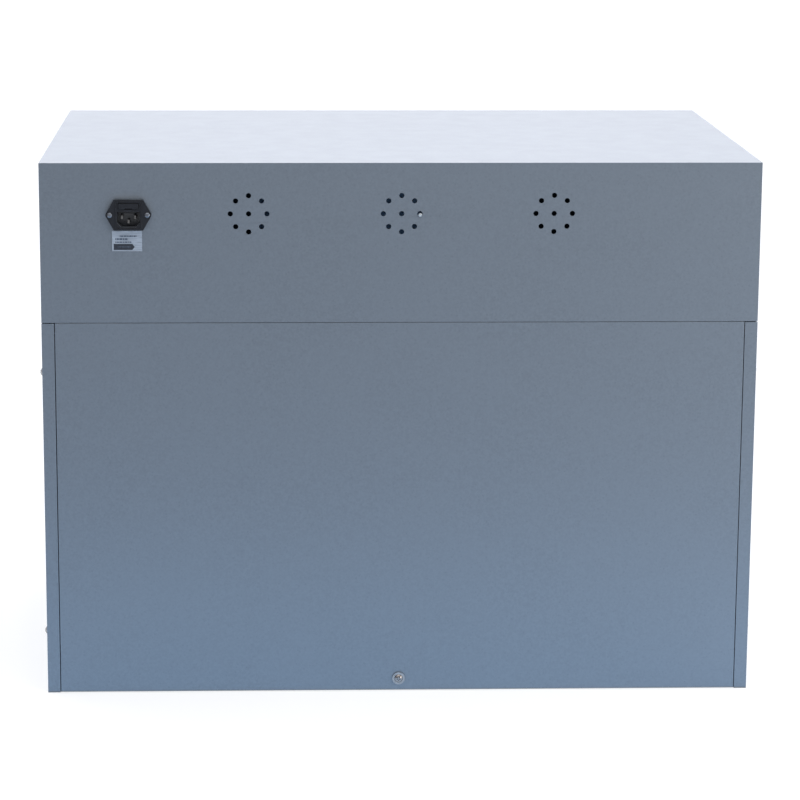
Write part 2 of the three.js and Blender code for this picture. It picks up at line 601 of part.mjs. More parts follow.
// Face of the coin acceptor: slot, reject button hole and the mouth of the return cup.
function coinFaceplate() {
  const front = -TOUCH - COIN.thick;
  const through = [front - SLOT_BOSS.proud - CUT, CUT];
  const bossH = COIN_SLOT.h + SLOT_BOSS.over;
  const boss = roundedRectangle(COIN_SLOT.x, COIN_SLOT.z, SLOT_BOSS.w, bossH, SLOT_BOSS.r);
  const face = joined(
    plate(roundedRectangle(0, 0, COIN.w, COIN.h, COIN.r), front, -TOUCH),
    plate(boss, front - SLOT_BOSS.proud, front + BITE),
  );
  return cutFrom(face,
    upright(COIN_SLOT.x, COIN_SLOT.z, COIN_SLOT.w, COIN_SLOT.h, ...through),
    bar('y', BUTTON.r + BUTTON.clear, ...through, BUTTON.x, BUTTON.z, 20),
    upright(0, CUP.z, CUP.w, CUP.h, ...through),
    upright(0, FLAP_AXIS_Z, CUP.w + 2 * PIN_GROOVE.reach, 2 * PIN_GROOVE.half, PIN_GROOVE.y, CUT));
}

// Coin validator behind the faceplate, with the slot, the button's bore, the return cup and, underneath,
// the chute to the cash tray let into it.
function coinMechanism() {
  const [w, h] = [COIN_CUTOUT.w - 2 * COIN.bodyIn, COIN_CUTOUT.h - 2 * COIN.bodyIn];
  const chuteY = CUP.depth + CHUTE.gap;
  return cutFrom(
    upright(0, 0, w, h, TOUCH, COIN.depth),
    upright(COIN_SLOT.x, COIN_SLOT.z, COIN_SLOT.w, COIN_SLOT.h, -CUT, COIN_SLOT.depth),
    box(-CHUTE.halfW, CHUTE.halfW, chuteY, chuteY + CHUTE.length, -h / 2 - CUT, -h / 2 + CHUTE.height),
    bar('y', BUTTON.r + BUTTON.clear, -CUT, BUTTON.boreDepth, BUTTON.x, BUTTON.z, 20),
    upright(0, CUP.z, CUP.w, CUP.h, -CUT, CUP.depth));
}

function rejectButton() {
  const front = -TOUCH - COIN.thick - BUTTON.proud;
  return bar('y', BUTTON.r, front, front + BUTTON.length, 0, 0, 20);
}

// Flap with stub pins at its top edge; its local origin is on the pivot axis.
function coinReturnFlap() {
  const [half, thick] = [CUP.w / 2 - FLAP.sideGap, FLAP.thick / 2];
  const pin = CUP.w / 2 + FLAP.pinReach;
  return joined(
    box(-half, half, -thick, thick, FLAP.below - CUP.h, FLAP.above),
    bar('x', FLAP.pinR, -pin, pin, 0, 0, 10),
  );
}

function serviceLockBarrel() {
  const collar = bar('y', LOCK.collarR, -TOUCH - LOCK.collarThick, -TOUCH, 0, 0, 28);
  const sleeve = bar('y', LOCK.holeR - LOCK.clear, -TOUCH - CUT, LOCK.length, 0, 0, 24);
  const bore = bar('y', LOCK.boreR, -TOUCH - LOCK.collarThick - CUT, LOCK.length + CUT, 0, 0, 20);
  return cutFrom(joined(collar, sleeve), bore);
}

// Turning plug of the cam lock with its cam hanging down, which is unlocked.
function serviceLockPlug() {
  const plug = bar('y', PLUG.r, PLUG.front, CAM.y + CUT, 0, 0, 20);
  const cam = box(-CAM.half, CAM.half, CAM.y, CAM.y + CAM.thick, -CAM.reach, CAM.half);
  const keyway = box(-PLUG.keyHalfW, PLUG.keyHalfW, PLUG.front - CUT, PLUG.front + PLUG.keyDepth,
    -PLUG.keyHalfH, PLUG.keyHalfH);
  return cutFrom(joined(plug, cam), keyway);
}

part('service_door', serviceDoor(), doorPaint, -SERVICE_X, Y_FRONT, SERVICE_Z0);
part('display_bezel', displayBezel(), blackPlastic, DISPLAY_X, Y_FRONT, HEADER_Z);
part('display_module', displayModule(), screenGlass, DISPLAY_X, Y_FRONT, HEADER_Z);
part('coin_faceplate', coinFaceplate(), blackPlastic, COIN_X, Y_FRONT, HEADER_Z);
part('coin_mechanism', coinMechanism(), blackPlastic, COIN_X, Y_FRONT, HEADER_Z);
part('reject_button', rejectButton(), zinc, COIN_X + BUTTON.x, Y_FRONT, HEADER_Z + BUTTON.z);
part('coin_return_flap', coinReturnFlap(), blackPlastic,
  COIN_X, Y_FRONT + FLAP_AXIS_Y, HEADER_Z + FLAP_AXIS_Z);
part('service_lock_barrel', serviceLockBarrel(), zinc, LOCK_X, Y_FRONT, HEADER_Z);
part('service_lock_plug', serviceLockPlug(), zinc, LOCK_X, Y_FRONT, HEADER_Z);

// ---------------------------------------------------------------- inside the header and the wiring bay

const DECK_TOP = DECK_Z + SHEET + TOUCH;
const SUPPLY = { x0: 60, x1: 275, y0: 95, y1: 210, h: 50, tab: 12, tabIn: 10, tabThick: 3 };
const TRAY = { w: 110, y0: -231, y1: -120, h: 30 };

// Open-topped tray that the coins drop into from the chute above it.
function cashTray() {
  const half = TRAY.w / 2;
  return cutFrom(
    box(-half, half, TRAY.y0, TRAY.y1, 0, TRAY.h),
    box(SHEET - half, half - SHEET, TRAY.y0 + SHEET, TRAY.y1 - SHEET, SHEET, TRAY.h + CUT),
  );
}

// Boxed power supply with a screw-down tab along one end.
function powerSupply() {
  const { x0, x1, y0, y1, h, tab, tabIn, tabThick } = SUPPLY;
  return joined(
    box(x0, x1, y0, y1, DECK_TOP, DECK_TOP + h),
    box(x0 - tab, x0 + BITE, y0 + tabIn, y1 - tabIn, DECK_TOP, DECK_TOP + tabThick),
  );
}

const BOARD = { x: 80, y: 50, z: 8, thick: 1.6, y0: -140 };
const PILLAR = { x: 74, y: 44, r: 3 };
const BOARD_BLOCKS = [ // x0, x1, y0, y1 and height above the board
  { x0: -20, x1: 20, y0: -15, y1: 25, h: 2.4 }, // processor
  { x0: -70, x1: -50, y0: -30, y1: 30, h: 11.4 }, // connector row to the latches
  { x0: 45, x1: 62, y0: -40, y1: 40, h: 9.4 }, // connector row to the charging rails
];
const CAPACITORS = [{ x: 25, y: -30 }, { x: 8, y: -34 }];
const CAPACITOR = { r: 6, h: 15.4 };

// Controller: a board on four pillars with its larger components.
function controllerBoard() {
  const top = BOARD.z + BOARD.thick;
  const pieces = [box(-BOARD.x, BOARD.x, -BOARD.y, BOARD.y, BOARD.z, top)];
  for (const x of [-PILLAR.x, PILLAR.x]) {
    for (const y of [-PILLAR.y, PILLAR.y]) pieces.push(bar('z', PILLAR.r, 0, BOARD.z + BITE, x, y, 12));
  }
  for (const b of BOARD_BLOCKS) pieces.push(box(b.x0, b.x1, b.y0, b.y1, top - BITE, top + b.h));
  for (const c of CAPACITORS) pieces.push(bar('z', CAPACITOR.r, top - BITE, top + CAPACITOR.h, c.x, c.y, 16));
  return joined(...pieces);
}

const PORT = { w: 12.6, h: 5, wall: 1.6, y0: BACK_WALL_Y - 2, y1: BACK_WALL_Y + 11, depth: 10 };
const STRIP = { x: 310, half: 14, thick: 1.6 };

// Circuit strip behind one row of lockers; a charging port reaches through the back wall into each.
function chargingRail() {
  const strip = box(-STRIP.x, STRIP.x, PORT.y1 - STRIP.thick, PORT.y1, -STRIP.half, STRIP.half);
  const shells = [];
  const hollows = [];
  for (let c = 0; c < COLUMNS; c++) {
    shells.push(upright(columnX(c), 0, PORT.w + 2 * PORT.wall, PORT.h + 2 * PORT.wall, PORT.y0, PORT.y1));
    hollows.push(upright(columnX(c), 0, PORT.w, PORT.h, PORT.y0 - CUT, PORT.y0 + PORT.depth));
  }
  return cutFrom(joined(strip, ...shells), ...hollows);
}

const LEAD_R = 3.3;
const LEAD_ROUTE = [ // from the back of the inlet down to the power supply's end face
  [INLET_X, 221.5, INLET_Z],
  [INLET_X + 1, 205, INLET_Z - 2],
  [INLET_X + 8, 182, INLET_Z - 22],
  [INLET_X + 16, 165, INLET_Z - 60],
  [INLET_X + 12, 155, INLET_Z - 92],
  [INLET_X, 150, DECK_TOP + 25],
  [SUPPLY.x1 + TOUCH, 150, DECK_TOP + 24],
];

// Sheathed lead from the back of the inlet down to the power supply's terminals.
function mainsLead() {
  const route = new THREE.CatmullRomCurve3(LEAD_ROUTE.map((point) => new THREE.Vector3(...point)));
  const section = new THREE.Shape();
  section.absarc(0, 0, LEAD_R, 0, 2 * Math.PI);
  return solid(new THREE.ExtrudeGeometry(section, { steps: 18, extrudePath: route, curveSegments: 5 }));
}

part('cash_tray', cashTray(), galvanised, COIN_X, 0, DECK_TOP);
part('power_supply', powerSupply(), galvanised);
part('controller_board', controllerBoard(), boardGreen, DISPLAY_X, BOARD.y0, DECK_TOP);
part('charging_rail_lower', chargingRail(), boardGreen, 0, 0, SOCKET_Z[0]);
part('charging_rail_upper', chargingRail(), boardGreen, 0, 0, SOCKET_Z[1]);
part('mains_lead', mainsLead(), leadSheath);

// ---------------------------------------------------------------- mains inlet and rear fittings

const INLET = { halfTop: 15.5, halfHeight: 16.4, earR: 4.2, thick: 3, bodyX: 13.4, bodyZ: 15, depth: 28 };
const EAR_ANGLE = 0.67; // half angle of the round end of a flange ear
const SOCKET = { w: 24.4, h: 16.4, z: -4.8, chamfer: 4.5, depth: 16 };
const DRAWER = { w: 22, h: 7, z: 9.3, depth: 18, proud: 0.8, clear: 0.4 };
const NOTCH = { half: 4, depth: 1.2, h: 1.6 };
const BLADE = { x: 7, half: 1, length: 12.5, h: 4, liveZ: 2.2, earthZ: -2.3, earthExtra: 1 };
const CARRIER = { half: 8.2, thick: 1, below: 4.3, above: 5 };
const LABEL = { w: 32, h: 22, thick: 0.3, x: INLET_X + 1.8, z: 501.6 };

// Hexagonal flange with round ears over the screws.
function inletFlange() {
  const shape = new THREE.Shape();
  shape.moveTo(-INLET.halfTop, -INLET.halfHeight);
  shape.lineTo(INLET.halfTop, -INLET.halfHeight);
  shape.absarc(INLET_SCREW_X, 0, INLET.earR, -EAR_ANGLE, EAR_ANGLE);
  shape.lineTo(INLET.halfTop, INLET.halfHeight);
  shape.lineTo(-INLET.halfTop, INLET.halfHeight);
  shape.absarc(-INLET_SCREW_X, 0, INLET.earR, Math.PI - EAR_ANGLE, Math.PI + EAR_ANGLE);
  return plate(shape, TOUCH, TOUCH + INLET.thick, 8);
}

// Outline of the plug socket: a rectangle with its two lower corners cut off on the earth side.
function socketOutline() {
  const shape = new THREE.Shape();
  const [w, h, c] = [SOCKET.w / 2, SOCKET.h / 2, SOCKET.chamfer];
  shape.moveTo(-w, SOCKET.z + h);
  shape.lineTo(-w, SOCKET.z - h + c);
  shape.lineTo(-w + c, SOCKET.z - h);
  shape.lineTo(w - c, SOCKET.z - h);
  shape.lineTo(w, SOCKET.z - h + c);
  shape.lineTo(w, SOCKET.z + h);
  return shape;
}

// Flange and body of the inlet with its plug socket, the drawer's bay and the screw holes let in.
function inletHousing() {
  const front = TOUCH + INLET.thick;
  const back = upright(0, 0, 2 * INLET.bodyX, 2 * INLET.bodyZ, -INLET.depth, TOUCH + BITE);
  const screwHole = (x) => bar('y', INLET_SCREW_HOLE_R, -CUT, front + CUT, x, 0, 12);
  return cutFrom(inletFlange().add(back),
    plate(socketOutline(), front - SOCKET.depth, front + CUT),
    upright(0, DRAWER.z, DRAWER.w, DRAWER.h, front - DRAWER.depth - CUT, front + CUT),
    screwHole(-INLET_SCREW_X),
    screwHole(INLET_SCREW_X));
}

// Three blades on the carrier that closes the bottom of the socket.
function inletContacts() {
  const floor = TOUCH + INLET.thick - SOCKET.depth + TOUCH;
  const tip = floor + BLADE.length;
  const blade = (x, z, end) => upright(x, SOCKET.z + z, 2 * BLADE.half, BLADE.h, floor, end);
  return joined(
    box(-CARRIER.half, CARRIER.half, floor, floor + CARRIER.thick,
      SOCKET.z - CARRIER.below, SOCKET.z + CARRIER.above),
    blade(0, BLADE.earthZ, tip + BLADE.earthExtra),
    blade(-BLADE.x, BLADE.liveZ, tip),
    blade(BLADE.x, BLADE.liveZ, tip),
  );
}

// Fuse drawer with a finger notch under its front edge.
function fuseDrawer() {
  const front = TOUCH + INLET.thick;
  const [w, h] = [DRAWER.w - 2 * DRAWER.clear, DRAWER.h - 2 * DRAWER.clear];
  return cutFrom(
    upright(0, 0, w, h, front - DRAWER.depth, front + DRAWER.proud),
    box(-NOTCH.half, NOTCH.half, front - NOTCH.depth, front + DRAWER.proud + CUT,
      -DRAWER.h / 2, -DRAWER.h / 2 + NOTCH.h),
  );
}

const RECESS = { half: 0.6, share: 0.55 }; // arm half width, and depth as a share of the head's height
const WASHER = { thick: 1, sink: 0.1 };
const INLET_SCREW = { headR: 2.9, headH: 1.7, shankR: 1.4, length: 8, recess: 3, washerR: 0 };
const REAR_SCREW = { headR: 4.7, headH: 2.8, shankR: 2, length: 9, recess: 4.4, washerR: 7 };
const SIDE_SCREW = { headR: 5.2, headH: 3.4, shankR: 2, length: 8, recess: 4.6, washerR: 0 };

// A cross recess cut down into a screw head that faces +Z.
function crossRecess(top, width, depth) {
  const [a, b] = [width / 2, RECESS.half];
  return joined(
    box(-a, a, -b, b, top - depth, top + CUT),
    box(-b, b, -a, a, top - depth, top + CUT),
  );
}

// A pan-head screw along +Z with its seat at z = 0 and its shank below.
function screw({ headR, headH, shankR, length, recess, washerR }) {
  const seat = washerR ? WASHER.thick - WASHER.sink : 0;
  const pieces = [bar('z', shankR, -length, WASHER.sink, 0, 0, 12)];
  if (washerR) pieces.push(bar('z', washerR, 0, WASHER.thick, 0, 0, 28));
  pieces.push(dome(headR, headH).translate([0, 0, seat]));
  return cutFrom(joined(...pieces), crossRecess(seat + headH, recess, headH * RECESS.share));
}

const SIDES = [['left', -1], ['right', 1]];

part('inlet_housing', inletHousing(), blackPlastic, INLET_X, Y_BACK, INLET_Z);
part('inlet_contacts', inletContacts(), contactMetal, INLET_X, Y_BACK, INLET_Z);
part('fuse_drawer', fuseDrawer(), blackPlastic, INLET_X, Y_BACK, INLET_Z + DRAWER.z);
for (const [name, side] of SIDES) {
  const [x, y] = [INLET_X + side * INLET_SCREW_X, Y_BACK + 2 * TOUCH + INLET.thick];
  part(`inlet_screw_${name}`, screw(INLET_SCREW), zinc, x, y, INLET_Z).rotation.x = -Math.PI / 2;
}

const label = upright(0, 0, LABEL.w, LABEL.h, 0, LABEL.thick);
part('rating_label', label, labelFilm, LABEL.x, Y_BACK + TOUCH, LABEL.z);
part('rear_panel_screw', screw(REAR_SCREW), zinc, 0, Y_BACK + TOUCH, REAR_SCREW_Z).rotation.x = -Math.PI / 2;

for (const [name, side] of SIDES) {
  SIDE_SCREW_Z.forEach((z, i) => {
    const mesh = part(`side_screw_${name}_${i ? 'upper' : 'lower'}`, screw(SIDE_SCREW), zinc,
      side * (X_OUT + TOUCH), SIDE_SCREW_Y, z);
    mesh.rotation.y = side * Math.PI / 2;
  });
}

export default kiosk;
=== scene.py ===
"""Looks of the phone charging kiosk: materials, fine pieces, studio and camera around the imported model.

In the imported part's frame: +Z up, the locker doors face -Y and the mains inlet is on the +Y side. Places
and sizes of the studio are in metres, and those of the pieces in millimetres.
"""

import json
import math

import bmesh
import bpy
from mathutils import Matrix, Quaternion, Vector


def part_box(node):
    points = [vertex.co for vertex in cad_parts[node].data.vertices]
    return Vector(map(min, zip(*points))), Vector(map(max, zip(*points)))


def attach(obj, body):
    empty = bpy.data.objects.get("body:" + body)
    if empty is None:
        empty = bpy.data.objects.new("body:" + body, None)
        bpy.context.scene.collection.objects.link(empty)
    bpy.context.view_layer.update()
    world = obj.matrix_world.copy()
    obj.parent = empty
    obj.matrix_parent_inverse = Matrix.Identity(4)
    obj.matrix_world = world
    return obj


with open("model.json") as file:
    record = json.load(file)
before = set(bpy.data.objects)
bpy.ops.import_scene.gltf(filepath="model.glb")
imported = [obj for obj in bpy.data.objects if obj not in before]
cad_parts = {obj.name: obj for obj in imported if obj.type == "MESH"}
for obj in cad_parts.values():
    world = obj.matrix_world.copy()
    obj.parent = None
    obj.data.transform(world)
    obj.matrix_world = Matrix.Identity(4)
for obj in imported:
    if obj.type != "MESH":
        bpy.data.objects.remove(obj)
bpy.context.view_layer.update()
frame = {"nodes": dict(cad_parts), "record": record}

MM = 0.001
NODES = frame["nodes"]
DOORS = range(1, 9)
DOOR_COLUMNS = 4

# ---------------------------------------------------------------- camera and studio

CAMERA_PLACE = (0.146, 3.194, 0.97)
CAMERA_YAW = math.radians(1.82)
CAMERA_PITCH = math.radians(11.32)
CAMERA_ROLL = math.radians(0.19)
CAMERA_LENS = 125.7
CAMERA_SHIFT = (0.06, -0.06)
SKY_LEVEL = 0.38  # strength of the wall behind the camera
SKY_RISE = 0.2  # how much brighter the ceiling is
SKY_FAR = 2.2  # how much brighter the wall beyond the doors is
SKY_TINT = (0.94, 0.97, 1.06)

WHITE = (1, 1, 1)
LIGHTS = {  # place, point it faces, size, power and colour
    "ceiling_box": ((0, 0.7, 1.5), (0, 0.65, 0), (2, 0.5), 11, WHITE),
    "side_box": ((-1.4, 0.95, 0.55), (-0.1, 0.25, 0.3), (0.8, 0.8), 13, WHITE),
    "low_glow": ((0, 0.5515, 0.0004), (0, 0.5515, 1), (2.4, 0.6), 6.2, (0.22, 0.56, 1)),
    "header_fill": ((0, 0.1, 0.55), (0, -0.25, 0.44), (0.4, 0.03), 0.09, (0.35, 0.6, 1)),
}
FLOOR_LIGHT = 0.6
FLOOR_REACH = 40
FLOOR_DROP = 0.2 * MM  # keeps the floor clear of the base
CLIP_END = 100


def make_camera():
    """Looks at the back of the cabinet from a little above."""
    level = math.cos(CAMERA_PITCH)
    away = (-math.sin(CAMERA_YAW) * level, -math.cos(CAMERA_YAW) * level, -math.sin(CAMERA_PITCH))
    camera = bpy.data.objects.new("camera", bpy.data.cameras.new("camera"))
    camera.data.lens = CAMERA_LENS
    camera.data.shift_x, camera.data.shift_y = CAMERA_SHIFT
    camera.data.clip_end = CLIP_END
    camera.rotation_mode = "QUATERNION"
    camera.location = CAMERA_PLACE
    aim = Vector(away).to_track_quat("-Z", "Y")
    camera.rotation_quaternion = aim @ Quaternion((0, 0, 1), CAMERA_ROLL)
    bpy.context.scene.collection.objects.link(camera)
    bpy.context.scene.camera = camera


def area_light(name, place, target, size, power, colour):
    """A soft rectangular light that the camera doesn't see, facing a target point."""
    light = bpy.data.lights.new(name, "AREA")
    light.shape = "RECTANGLE"
    light.size, light.size_y = size
    light.energy = power
    light.color = colour
    lamp = bpy.data.objects.new(name, light)
    lamp.location = place
    lamp.rotation_mode = "QUATERNION"
    lamp.rotation_quaternion = (Vector(target) - Vector(place)).to_track_quat("-Z", "Y")
    lamp.visible_camera = False
    bpy.context.scene.collection.objects.link(lamp)


def make_world():
    """A white room, brightest overhead and brighter beyond the doors than behind the camera."""
    world = bpy.data.worlds.new("studio")
    world.use_nodes = True
    tree = world.node_tree
    background = tree.nodes["Background"]
    background.inputs["Color"].default_value = (*SKY_TINT, 1)
    direction = tree.nodes.new("ShaderNodeTexCoord")
    parts = tree.nodes.new("ShaderNodeSeparateXYZ")
    tree.links.new(direction.outputs["Generated"], parts.inputs["Vector"])

    def ramp(axis, from_range, to_range):
        node = tree.nodes.new("ShaderNodeMapRange")
        for socket, value in zip(("From Min", "From Max", "To Min", "To Max"), (*from_range, *to_range)):
            node.inputs[socket].default_value = value
        tree.links.new(parts.outputs[axis], node.inputs["Value"])
        return node.outputs["Result"]

    total = tree.nodes.new("ShaderNodeMath")
    total.operation = "ADD"
    tree.links.new(ramp("Z", (0, 1), (SKY_LEVEL, SKY_LEVEL + SKY_RISE)), total.inputs[0])
    tree.links.new(ramp("Y", (-1, 0), (SKY_FAR, 0)), total.inputs[1])
    tree.links.new(total.outputs[0], background.inputs["Strength"])
    bpy.context.scene.world = world


def make_lights():
    """Softboxes above and beside the back, a low bluish glow at its foot and a faint fill in the header."""
    for name, settings in LIGHTS.items():
        area_light(name, *settings)


def make_floor():
    """One wide pale square just under the base."""
    mesh = bpy.data.meshes.new("floor")
    corners = [(x * FLOOR_REACH, y * FLOOR_REACH, 0) for x, y in ((-1, -1), (1, -1), (1, 1), (-1, 1))]
    mesh.from_pydata(corners, [], [(0, 1, 2, 3)])
    mesh.materials.append(MATERIALS["floor"])
    floor = bpy.data.objects.new("floor", mesh)
    floor.location.z = -FLOOR_DROP
    bpy.context.scene.collection.objects.link(floor)


# ---------------------------------------------------------------- material tools


class Surface:
    """A principled material with short calls for the nodes that feed it."""

    def __init__(self, name, colour, roughness, metallic=0.0):
        self.material = bpy.data.materials.new(name)
        self.material.use_nodes = True
        self.tree = self.material.node_tree
        self.shader = self.tree.nodes["Principled BSDF"]
        self.coordinates = self.tree.nodes.new("ShaderNodeTexCoord").outputs["Object"]
        self.set("Base Color", (*colour, 1))
        self.set("Roughness", roughness)
        self.set("Metallic", metallic)

    def set(self, socket, value):
        self.shader.inputs[socket].default_value = value

    def link(self, source, target):
        self.tree.links.new(source, target)

    def feed(self, socket, source):
        self.link(source, self.shader.inputs[socket])

    def stretched(self, stretch):
        if stretch is None:
            return self.coordinates
        mapping = self.tree.nodes.new("ShaderNodeMapping")
        mapping.inputs["Scale"].default_value = stretch
        self.link(self.coordinates, mapping.inputs["Vector"])
        return mapping.outputs["Vector"]

    def noise(self, scale, detail=3.0, roughness=0.55, stretch=None):
        node = self.tree.nodes.new("ShaderNodeTexNoise")
        node.inputs["Scale"].default_value = scale
        node.inputs["Detail"].default_value = detail
        node.inputs["Roughness"].default_value = roughness
        self.link(self.stretched(stretch), node.inputs["Vector"])
        return node.outputs["Fac"]

    def cells(self, scale):
        node = self.tree.nodes.new("ShaderNodeTexVoronoi")
        node.inputs["Scale"].default_value = scale
        self.link(self.coordinates, node.inputs["Vector"])
        return node.outputs["Distance"]

    def spread(self, source, low, high, start=0.35, end=0.65):
        """Maps the source's band from start to end to the range from low to high."""
        node = self.tree.nodes.new("ShaderNodeMapRange")
        node.inputs["From Min"].default_value = start
        node.inputs["From Max"].default_value = end
        node.inputs["To Min"].default_value = low
        node.inputs["To Max"].default_value = high
        self.link(source, node.inputs["Value"])
        return node.outputs["Result"]

    def blend(self, factor, first, second):
        """A colour between two others, each a tuple or another node's colour."""
        node = self.tree.nodes.new("ShaderNodeMix")
        node.data_type = "RGBA"
        self.link(factor, node.inputs["Factor"])
        sockets = [socket for socket in node.inputs if socket.type == "RGBA"]
        for socket, value in zip(sockets, (first, second)):
            if isinstance(value, tuple):
                socket.default_value = (*value, 1)
            else:
                self.link(value, socket)
        return next(socket for socket in node.outputs if socket.type == "RGBA")

    def bump(self, height, strength, distance):
        node = self.tree.nodes.new("ShaderNodeBump")
        node.inputs["Strength"].default_value = strength
        node.inputs["Distance"].default_value = distance
        self.link(height, node.inputs["Height"])
        self.feed("Normal", node.outputs["Normal"])


def shade(colour, factor):
    """The colour made lighter or darker."""
    return tuple(min(1.0, part * factor) for part in colour)


# ---------------------------------------------------------------- materials

PAINT = (0.097, 0.116, 0.138)
DOOR_PAINT = (0.24, 0.27, 0.31)


def powder_coat(name, colour):
    """Fine mottled powder coat with a slight orange peel and sparse darker specks."""
    surface = Surface(name, colour, 0.42, 0.15)
    grain = surface.spread(surface.noise(430, 2, 0.6), 0, 1)
    mottled = surface.blend(grain, shade(colour, 0.93), shade(colour, 1.07))
    clouded = surface.blend(surface.spread(surface.noise(14, 3), 0, 0.4), mottled, shade(colour, 1.05))
    specks = surface.spread(surface.cells(210), 0.4, 0, 0.1, 0.26)
    surface.feed("Base Color", surface.blend(specks, clouded, shade(colour, 0.72)))
    surface.feed("Roughness", surface.spread(surface.noise(38, 4), 0.415, 0.44))
    surface.bump(surface.noise(560, 2, 0.5), 0.2, 0.25 * MM)
    surface.set("Coat Weight", 0.3)
    surface.set("Coat Roughness", 0.3)
    return surface.material


def galvanised():
    """Zinc-coated sheet with soft spangles."""
    colour = (0.5, 0.52, 0.54)
    surface = Surface("galvanised_sheet", colour, 0.42, 0.85)
    spangle = surface.spread(surface.cells(70), 0, 1, 0.1, 0.7)
    surface.feed("Base Color", surface.blend(spangle, shade(colour, 0.84), shade(colour, 1.12)))
    surface.feed("Roughness", surface.spread(surface.cells(70), 0.34, 0.52, 0.1, 0.7))
    surface.bump(surface.noise(240, 3), 0.1, 0.1 * MM)
    return surface.material


def plated_metal(name, colour, roughness):
    """Plated metal with a little tarnish and fine tool marks."""
    surface = Surface(name, colour, roughness, 1.0)
    mottle = surface.spread(surface.noise(420, 3), 0, 1)
    surface.feed("Base Color", surface.blend(mottle, shade(colour, 0.8), shade(colour, 1.08)))
    surface.feed("Roughness", surface.spread(surface.noise(900, 2), roughness * 0.75, roughness * 1.35))
    surface.bump(surface.noise(1500, 2), 0.1, 0.05 * MM)
    return surface.material


def moulded_plastic(name, colour, roughness=0.42, texture=0.3, specular=0.5):
    """Spark-textured moulding."""
    surface = Surface(name, colour, roughness)
    surface.set("Specular IOR Level", specular)
    mottle = surface.spread(surface.noise(90, 3), 0, 1)
    surface.feed("Base Color", surface.blend(mottle, shade(colour, 0.85), shade(colour, 1.18)))
    surface.feed("Roughness", surface.spread(surface.noise(160, 3), roughness - 0.06, roughness + 0.08))
    surface.bump(surface.noise(1800, 2, 0.7), texture, 0.06 * MM)
    return surface.material


def clear_pane():
    """Clear acrylic that lets lamplight through, with faint wiping marks."""
    surface = Surface("clear_acrylic", (0.93, 0.965, 0.98), 0.03)
    surface.set("Transmission Weight", 1.0)
    surface.set("IOR", 1.49)
    surface.feed("Roughness", surface.spread(surface.noise(60, 4, stretch=(1, 1, 5)), 0.01, 0.07))
    nodes = surface.tree.nodes
    clear = nodes.new("ShaderNodeBsdfTransparent")
    clear.inputs["Color"].default_value = (0.9, 0.94, 0.95, 1)
    path = nodes.new("ShaderNodeLightPath")
    mix = nodes.new("ShaderNodeMixShader")
    surface.link(path.outputs["Is Shadow Ray"], mix.inputs["Fac"])
    surface.link(surface.shader.outputs["BSDF"], mix.inputs[1])
    surface.link(clear.outputs["BSDF"], mix.inputs[2])
    surface.link(mix.outputs["Shader"], nodes["Material Output"].inputs["Surface"])
    return surface.material


def screen_glass():
    """Dark cover glass of the display, with the backlight leaking through unevenly."""
    surface = Surface("screen_glass", (0.012, 0.016, 0.024), 0.07)
    surface.feed("Roughness", surface.spread(surface.noise(45, 4), 0.05, 0.12))
    surface.set("Emission Color", (0.03, 0.09, 0.2, 1))
    surface.feed("Emission Strength", surface.spread(surface.noise(6, 1), 0.25, 0.4))
    return surface.material


def glow(name, colour, strength):
    """A lit mark on the screen, slightly uneven."""
    surface = Surface(name, shade(colour, 0.6), 0.3)
    surface.set("Emission Color", (*colour, 1))
    unevenness = surface.spread(surface.noise(200, 2), strength * 0.85, strength * 1.15)
    surface.feed("Emission Strength", unevenness)
    return surface.material


def label_film():
    """Brushed silver label film."""
    colour = (0.215, 0.245, 0.285)
    surface = Surface("label_film", colour, 0.36, 0.1)
    streaks = surface.spread(surface.noise(700, 2, stretch=(0.15, 1, 1)), 0, 1)
    surface.feed("Base Color", surface.blend(streaks, shade(colour, 0.86), shade(colour, 1.16)))
    surface.feed("Roughness", surface.spread(surface.noise(300, 2), 0.3, 0.44))
    return surface.material


def circuit_board():
    """Green solder mask over copper pours."""
    colour = (0.02, 0.115, 0.06)
    surface = Surface("circuit_board", colour, 0.3)
    pours = surface.spread(surface.cells(95), 0, 1, 0.3, 0.34)
    surface.feed("Base Color", surface.blend(pours, shade(colour, 0.7), shade(colour, 1.5)))
    surface.feed("Roughness", surface.spread(surface.noise(200, 2), 0.25, 0.38))
    surface.bump(surface.noise(900, 2), 0.15, 0.05 * MM)
    return surface.material


def rubber(name, colour):
    """Matt rubber with a dusty bloom."""
    surface = Surface(name, colour, 0.62)
    mottle = surface.spread(surface.noise(120, 4), 0, 0.5)
    surface.feed("Base Color", surface.blend(mottle, colour, shade(colour, 1.8)))
    surface.feed("Roughness", surface.spread(surface.noise(260, 3), 0.55, 0.72))
    surface.bump(surface.noise(1400, 2), 0.2, 0.05 * MM)
    return surface.material


def print_ink(name, colour):
    """Printed ink with a slightly broken tone."""
    surface = Surface(name, colour, 0.5)
    surface.set("Specular IOR Level", 0.2)
    mottle = surface.spread(surface.noise(900, 2), 0, 1)
    surface.feed("Base Color", surface.blend(mottle, shade(colour, 0.85), shade(colour, 1.15)))
    surface.feed("Roughness", surface.spread(surface.noise(500, 2), 0.42, 0.58))
    return surface.material


def lit_table():
    """Plain pale floor, lit evenly from below as a shooting table is."""
    colour = (0.45, 0.452, 0.455)
    surface = Surface("studio_floor", colour, 0.8)
    mottle = surface.spread(surface.noise(3, 3), 0, 1)
    surface.feed("Base Color", surface.blend(mottle, shade(colour, 0.99), shade(colour, 1.01)))
    surface.set("Emission Color", (1, 1, 1, 1))
    surface.set("Emission Strength", FLOOR_LIGHT)
    return surface.material


